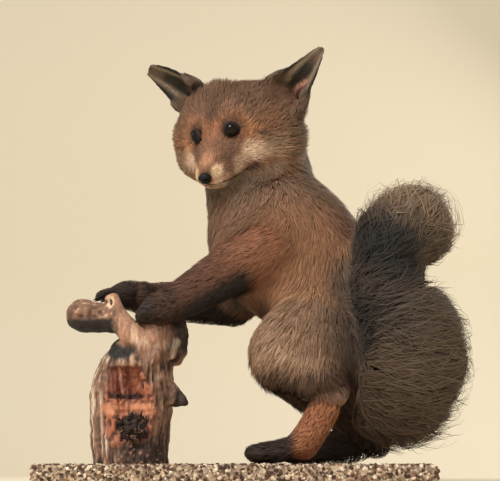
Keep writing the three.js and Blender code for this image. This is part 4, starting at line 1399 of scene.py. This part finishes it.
hollow = front * soft_oval(wood, (-109, -50, 74), (31, 40, 46))
hollow = smoothstep(0.28, 0.5, hollow) * (1 - polished)
notch = front * window(wx + 0.06 * wz, -125, -93, 1.2) * window(wz, 84, 116, 1.2) * (1 - polished)
print("stump", len(stump_triangles), "triangles")

# %% Furrows, notch, pits and the hollow end of the limb
turn = np.arctan2(wy + 3, wx + 107) * 38
grain = np.column_stack([turn, wz * 0.13 + 1.2 * np.sin(wz / 21), np.hypot(wy, wx + 107) * 0.2])
streak = value_noise(grain, 3.2, 3) + 0.6 * value_noise(grain, 1.6, 4)
lumps = value_noise(wood, 9, 5)
crumbs = value_noise(wood, 3.2, 6)
rough = 1 - 0.85 * polished - 0.5 * knob_part
wood_normals = vertex_normals(stump_points, stump_triangles)
height = rough * (1.7 * np.clip(streak, -1.1, 0.8) + 1.1 * lumps + 0.5 * crumbs) + hollow * 1.6 * crumbs
height -= knob_part * smoothstep(0.15, 0.55, value_noise(wood, 5.5, 8)) * 2.6 * smoothstep(162, 172, wz)
LIMB_MOUTH = (-134, -31, 187)
mouth = soft_oval(wood, LIMB_MOUTH, (4.5, 6, 7))
height -= 5.5 * mouth
slats = np.sin((wx + 0.12 * wz) * 2 * math.pi / 11)
moved = stump_points + wood_normals * (height * MM)[:, None]
moved[:, 1] += notch * (6.5 + 1.6 * slats) * MM
moved[:, 2] = np.maximum(moved[:, 2], 17.5 * MM)
stump_points = moved

# %% Colours of the wood
WOOD_GROUND = (84, 62, 49)
tone = smoothstep(-0.8, 0.8, streak + 0.5 * crumbs)
saddle = front * soft_oval(wood, (-80, -40, 146), (26, 40, 28))
spur = soft_oval(wood, (-52, -16, 84), (12, 40, 16))
foot = smoothstep(52, 34, wz)
ring = smoothstep(0.18, 0.4, mouth) * smoothstep(0.75, 0.5, mouth)
shadow = smoothstep(0.2, 0.45, soft_oval(wood, (-119, -26, 140), (19, 24, 16)))
under_limb = shadow * (1 - polished) * (1 - knob_part)
limb_streaks = value_noise(grain, (4, 3, 4), 11)
limb_cracks = value_noise(grain, (3, 3, 3), 12)
bleached_side = 0.4 + 0.6 * smoothstep(-114, -136, wx)
knob_pits = smoothstep(0.15, 0.55, value_noise(wood, 5.5, 8))
knob_underside_shade = smoothstep(171, 166, wz) * smoothstep(0.3, -0.2, wood_normals[:, 2])
STAINS_AND_PAINTED_SHADE = [
    # colour, and how much of it lies where; each one goes over those before it; painted shade is marked
    ((160, 120, 96), tone),
    ((230, 208, 184), smoothstep(0.3, 0.75, streak) * bleached_side),
    # darker along the furrows
    ((40, 30, 26), smoothstep(-0.15, -0.6, streak) * 0.9),
    # darker towards the back of the stump
    ((58, 44, 36), smoothstep(-5, 20, wy) * 0.5),
    ((176, 106, 76), hollow * smoothstep(-0.6, 0.3, crumbs + 0.4 * streak)),
    ((92, 54, 40), hollow * smoothstep(0.0, -0.5, crumbs)),
    ((222, 150, 114), hollow * window(wz, 68, 80, 4) * 0.8),
    ((118, 62, 44), notch),
    ((196, 138, 120), notch * smoothstep(0.55, 0.9, slats) * smoothstep(-108, -114, wx)),
    ((160, 96, 70), notch * smoothstep(-112, -108, wx) * window(wz, 92, 130, 3)),
    ((60, 30, 24), notch * window(wz, 80, 90, 3)),
    ((158, 118, 98), smoothstep(0.25, 0.6, saddle) * 0.7),
    ((62, 45, 37), smoothstep(0.15, 0.5, spur)),
    ((62, 46, 39), foot * front * smoothstep(-126, -108, wx) * 0.95),
    ((214, 160, 132), foot * front * smoothstep(0.5, 0.8, crumbs) * 0.8),
    ((186, 138, 110), polished * 0.9),
    ((232, 196, 168), polished * smoothstep(0.1, 0.8, limb_streaks) * 0.7),
    ((110, 74, 58), polished * smoothstep(-0.2, -0.8, limb_cracks) * 0.6),
    ((134, 98, 76), knob_part),
    ((214, 174, 138), knob_part * smoothstep(0.25, 0.7, crumbs) * 0.8),
    ((92, 66, 54), knob_part * knob_pits * 0.9),
    # painted shade on the underside of the knob, where it faces down
    ((36, 26, 24), knob_part * knob_underside_shade),
    ((44, 36, 30), bark_part * 0.85),
    ((150, 128, 108), bark_part * smoothstep(0.5, 0.9, streak) * 0.8),
    ((236, 204, 172), ring),
    # painted shade deep inside the hollow end of the limb
    ((34, 22, 18), smoothstep(0.6, 0.8, mouth)),
    # painted shadow under the limb
    ((30, 24, 22), under_limb),
]
wood_colour = linear(np.broadcast_to(WOOD_GROUND, wood.shape))
for shade, where in STAINS_AND_PAINTED_SHADE:
    wood_colour = mix(wood_colour, linear(shade), np.clip(where, 0, 1))
print("stains", len(STAINS_AND_PAINTED_SHADE))

# %% Wood finish
def wood_material(name, attribute, scale, bump_height, roughness):
    """Painted wood: the colour of each point, with fine fibres along the grain in tone and bump."""
    material, shader, new, link = new_finish(name)
    painted = new("ShaderNodeAttribute")
    painted.attribute_name = attribute
    where = new("ShaderNodeTexCoord")
    stretch = tuned(new("ShaderNodeMapping"), Scale=(scale, scale, scale * 0.22))
    fibres = tuned(new("ShaderNodeTexNoise"), Scale=1, Detail=5, Roughness=0.65)
    strength = tuned(new("ShaderNodeMapRange"), From_Min=0.3, From_Max=0.7, To_Min=0.55, To_Max=1.4)
    shaded = new("ShaderNodeVectorMath")
    shaded.operation = "SCALE"
    bump = tuned(new("ShaderNodeBump"), Strength=0.8, Distance=bump_height)
    link(where.outputs["Object"], stretch.inputs["Vector"])
    link(stretch.outputs["Vector"], fibres.inputs["Vector"])
    link(fibres.outputs["Fac"], strength.inputs["Value"])
    link(painted.outputs["Color"], shaded.inputs[0])
    link(strength.outputs["Result"], shaded.inputs["Scale"])
    link(shaded.outputs["Vector"], shader.inputs["Base Color"])
    link(fibres.outputs["Fac"], bump.inputs["Height"])
    link(bump.outputs["Normal"], shader.inputs["Normal"])
    shader.inputs["Roughness"].default_value = roughness
    return material


stump = object_from("weathered_stump", stump_points, stump_triangles)
add_colours(stump.data, wood_colour)
stump.data.materials.append(wood_material("weathered_wood", "coat_colour", 620, 0.0006, 0.7))
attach(stump, "root")
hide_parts(*STUMP_NODES)

# %% [markdown]
# ## Burr and board
# A dark tuft of broken rootlets sits in the rotten front, and the board under it all is pressed from bark
# chips, pale and dark, that stand out along its edges. Both are one small shape repeated over a surface, so
# one Geometry Nodes tree scatters them: it is the tool made for copies that follow a surface.

# %% Scatter tree
def scatter_tree():
    """Copies of a small object over a surface, turned at random, with one random tone for each copy."""
    tree = bpy.data.node_groups.new("scatter_over_surface", "GeometryNodeTree")
    sockets = tree.interface
    sockets.new_socket("Geometry", in_out="INPUT", socket_type="NodeSocketGeometry")
    sockets.new_socket("Shape", in_out="INPUT", socket_type="NodeSocketObject")
    for name in ("Density", "Smallest", "Largest", "Tilt", "Lowest Facing"):
        sockets.new_socket(name, in_out="INPUT", socket_type="NodeSocketFloat")
    sockets.new_socket("Seed", in_out="INPUT", socket_type="NodeSocketInt")
    sockets.new_socket("Material", in_out="INPUT", socket_type="NodeSocketMaterial")
    sockets.new_socket("Geometry", in_out="OUTPUT", socket_type="NodeSocketGeometry")
    new, link = tree.nodes.new, tree.links.new
    given = new("NodeGroupInput").outputs
    normal = new("GeometryNodeInputNormal")
    split = new("ShaderNodeSeparateXYZ")
    facing = new("FunctionNodeCompare")
    facing.operation = "GREATER_THAN"
    link(normal.outputs["Normal"], split.inputs["Vector"])
    link(split.outputs["Z"], facing.inputs[0])
    link(given["Lowest Facing"], facing.inputs[1])
    spread = new("GeometryNodeDistributePointsOnFaces")
    link(given["Geometry"], spread.inputs["Mesh"])
    link(given["Density"], spread.inputs["Density"])
    link(given["Seed"], spread.inputs["Seed"])
    link(facing.outputs["Result"], spread.inputs["Selection"])
    shape = new("GeometryNodeObjectInfo")
    link(given["Shape"], shape.inputs["Object"])
    size = new("FunctionNodeRandomValue")
    size.data_type = "FLOAT"
    link(given["Smallest"], size.inputs[2])
    link(given["Largest"], size.inputs[3])
    link(given["Seed"], size.inputs["Seed"])
    tilt = new("FunctionNodeRandomValue")
    tilt.data_type = "FLOAT_VECTOR"
    least, most = new("ShaderNodeCombineXYZ"), new("ShaderNodeCombineXYZ")
    minus = new("ShaderNodeMath")
    minus.operation = "MULTIPLY"
    minus.inputs[1].default_value = -1
    link(given["Tilt"], minus.inputs[0])
    for axis in ("X", "Y"):
        link(minus.outputs[0], least.inputs[axis])
        link(given["Tilt"], most.inputs[axis])
    most.inputs["Z"].default_value = 2 * math.pi
    link(least.outputs[0], tilt.inputs[0])
    link(most.outputs[0], tilt.inputs[1])
    link(given["Seed"], tilt.inputs["Seed"])
    turned = new("FunctionNodeRotateRotation")
    turned.rotation_space = "LOCAL"
    link(spread.outputs["Rotation"], turned.inputs["Rotation"])
    link(tilt.outputs[0], turned.inputs["Rotate By"])
    copies = new("GeometryNodeInstanceOnPoints")
    link(spread.outputs["Points"], copies.inputs["Points"])
    link(shape.outputs["Geometry"], copies.inputs["Instance"])
    link(turned.outputs["Rotation"], copies.inputs["Rotation"])
    link(size.outputs[1], copies.inputs["Scale"])
    tone = new("FunctionNodeRandomValue")
    tone.data_type = "FLOAT"
    tone.inputs["Seed"].default_value = 5
    stored = new("GeometryNodeStoreNamedAttribute")
    stored.domain = "INSTANCE"
    stored.inputs["Name"].default_value = "tone"
    link(copies.outputs["Instances"], stored.inputs["Geometry"])
    link(tone.outputs[1], stored.inputs["Value"])
    real = new("GeometryNodeRealizeInstances")
    finish = new("GeometryNodeSetMaterial")
    link(stored.outputs["Geometry"], real.inputs["Geometry"])
    link(real.outputs["Geometry"], finish.inputs["Geometry"])
    link(given["Material"], finish.inputs["Material"])
    link(finish.outputs["Geometry"], new("NodeGroupOutput").inputs["Geometry"])
    return tree


SCATTER = scatter_tree()


def scattered(name, surface, shape, **values):
    """Runs the scatter tree over a surface object and returns the copies as a plain mesh object."""
    modifier = surface.modifiers.new("scatter", "NODES")
    modifier.node_group = SCATTER
    values["Shape"] = shape
    for socket in SCATTER.interface.items_tree:
        if socket.in_out == "INPUT" and socket.name in values:
            modifier[socket.identifier] = values[socket.name]
    surface.update_tag()
    graph = bpy.context.evaluated_depsgraph_get()
    evaluated = surface.evaluated_get(graph)
    mesh = bpy.data.meshes.new_from_object(evaluated, preserve_all_data_layers=True, depsgraph=graph)
    surface.modifiers.remove(modifier)
    bpy.data.objects.remove(shape)
    copies = bpy.data.objects.new(name, mesh)
    bpy.context.scene.collection.objects.link(copies)
    print(name, len(mesh.polygons), "faces")
    return copies


def toned_material(name, stops, scale, roughness):
    """One tone for each copy from a ramp of colours, with a fine mottle over it."""
    material, shader, new, link = new_finish(name)
    tone = new("ShaderNodeAttribute")
    tone.attribute_name = "tone"
    ramp = new("ShaderNodeValToRGB")
    ramp.color_ramp.interpolation = "CONSTANT"
    while len(ramp.color_ramp.elements) < len(stops):
        ramp.color_ramp.elements.new(1.0)
    for element, (place, shade) in zip(ramp.color_ramp.elements, stops):
        element.position = place
        element.color = (*linear(shade), 1)
    where = new("ShaderNodeTexCoord")
    mottle = tuned(new("ShaderNodeTexNoise"), Scale=scale)
    strength = tuned(new("ShaderNodeMapRange"), To_Min=0.7, To_Max=1.3)
    shaded = new("ShaderNodeVectorMath")
    shaded.operation = "SCALE"
    link(tone.outputs["Fac"], ramp.inputs["Fac"])
    link(where.outputs["Object"], mottle.inputs["Vector"])
    link(mottle.outputs["Fac"], strength.inputs["Value"])
    link(ramp.outputs["Color"], shaded.inputs[0])
    link(strength.outputs["Result"], shaded.inputs["Scale"])
    link(shaded.outputs["Vector"], shader.inputs["Base Color"])
    shader.inputs["Roughness"].default_value = roughness
    return material


# %% Burr of rootlets
def cone_shape(name, sides, length, radius, bend):
    """A small bent cone standing on its base, closed."""
    turn = np.arange(sides) / sides * 2 * math.pi
    ring = np.column_stack([np.cos(turn), np.sin(turn), 0 * turn]) * radius
    middle = ring * 0.6 + (bend * 0.4, 0, length * 0.55)
    points = np.concatenate([ring, middle, [(bend, 0, length)]])
    faces = [(0, j + 1, j) for j in range(1, sides - 1)]
    for j in range(sides):
        nxt = (j + 1) % sides
        faces += [(j, nxt, nxt + sides), (j, nxt + sides, j + sides), (j + sides, nxt + sides, 2 * sides)]
    return object_from(name, points, np.array(faces))


ROOTLETS = [(0.0, (52, 38, 32)), (0.45, (84, 62, 48)), (0.75, (128, 98, 76))]
burr_points, burr_triangles = largest_shell(*remeshed(*gathered(["stump_burr"], NODE_SWELLING)[:2], 2 * MM))
burr_core = object_from("burr_core", burr_points, burr_triangles)
rootlet_finish = toned_material("rootlets", ROOTLETS, 500, 0.8)
burr_core.data.materials.append(rootlet_finish)
spines = scattered("burr_spines", burr_core, cone_shape("rootlet", 5, 1.0, 0.16, 0.35), Density=120000.0,
                   Smallest=0.005, Largest=0.010, Tilt=0.9, Seed=4, Material=rootlet_finish,
                   **{"Lowest Facing": -2.0})
for thing in (burr_core, spines):
    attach(thing, "root")
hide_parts("stump_burr")

# %% Board of pressed bark chips
BOARD_VOXEL = 3.2 * MM
board_points, board_triangles = largest_shell(*remeshed(*gathered(["base_board"], 0)[:2], BOARD_VOXEL))
board_normals = vertex_normals(board_points, board_triangles)
board_mm = board_points / MM
crumble = 0.9 * value_noise(board_mm, 7, 21) + 0.5 * value_noise(board_mm, 3.5, 22)
keep_flat = smoothstep(0.3, 2.5, board_mm[:, 2])
board_points = board_points + board_normals * ((crumble - 1.3) * keep_flat * MM)[:, None]
board_points[:, 2] = np.maximum(board_points[:, 2], 0.0)
board = object_from("pressed_board", board_points, board_triangles)
CHIPS = [(0.0, (70, 48, 36)), (0.26, (128, 94, 72)), (0.42, (226, 200, 172)), (0.6, (92, 62, 46)),
         (0.78, (248, 232, 210)), (0.9, (150, 112, 86))]


def pressed_material():
    """Glued bark crumbs between the chips: cells of brown and cream."""
    material, shader, new, link = new_finish("pressed_bark")
    where = new("ShaderNodeTexCoord")
    cells = tuned(new("ShaderNodeTexVoronoi"), Scale=420)
    pick = new("ShaderNodeSeparateColor")
    ramp = new("ShaderNodeValToRGB")
    ramp.color_ramp.elements[0].color = (*linear((66, 46, 36)), 1)
    ramp.color_ramp.elements[1].color = (*linear((214, 188, 158)), 1)
    bump = tuned(new("ShaderNodeBump"), Distance=0.0008)
    link(where.outputs["Object"], cells.inputs["Vector"])
    link(cells.outputs["Color"], pick.inputs["Color"])
    link(pick.outputs["Red"], ramp.inputs["Fac"])
    link(ramp.outputs["Color"], shader.inputs["Base Color"])
    link(cells.outputs["Distance"], bump.inputs["Height"])
    link(bump.outputs["Normal"], shader.inputs["Normal"])
    shader.inputs["Roughness"].default_value = 0.85
    return material


board.data.materials.append(pressed_material())
CHIP_POINTS = [(1, 0, -0.2), (0.3, 0.8, -0.25), (-0.8, 0.5, -0.2), (-0.9, -0.5, -0.25), (0.4, -0.7, -0.2),
               (0.7, 0.1, 0.3), (-0.1, 0.5, 0.35), (-0.6, -0.2, 0.3), (0.3, -0.4, 0.35)]
CHIP_FACES = [(0, 1, 5), (1, 6, 5), (1, 2, 6), (2, 7, 6), (2, 3, 7), (3, 8, 7), (3, 4, 8), (4, 5, 8),
              (4, 0, 5), (5, 6, 8), (6, 7, 8), (0, 4, 1), (4, 3, 1), (3, 2, 1)]
chip = object_from("chip", np.array(CHIP_POINTS), np.array(CHIP_FACES), False)
chips = scattered("bark_chips", board, chip, Density=62000.0, Smallest=0.0011, Largest=0.0030, Tilt=0.5,
                  Seed=9, Material=toned_material("chip_tones", CHIPS, 700, 0.75), **{"Lowest Facing": -0.4})
chip_points = points_of(chips.data)
chip_points[:, 2] = np.maximum(chip_points[:, 2], 0.1 * MM)
chips.data.vertices.foreach_set("co", chip_points.astype(np.float32).ravel())
chips.data.update()
for thing in (board, chips):
    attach(thing, "root")
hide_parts("base_board")

# %% Last update of the view layer
bpy.context.view_layer.update()
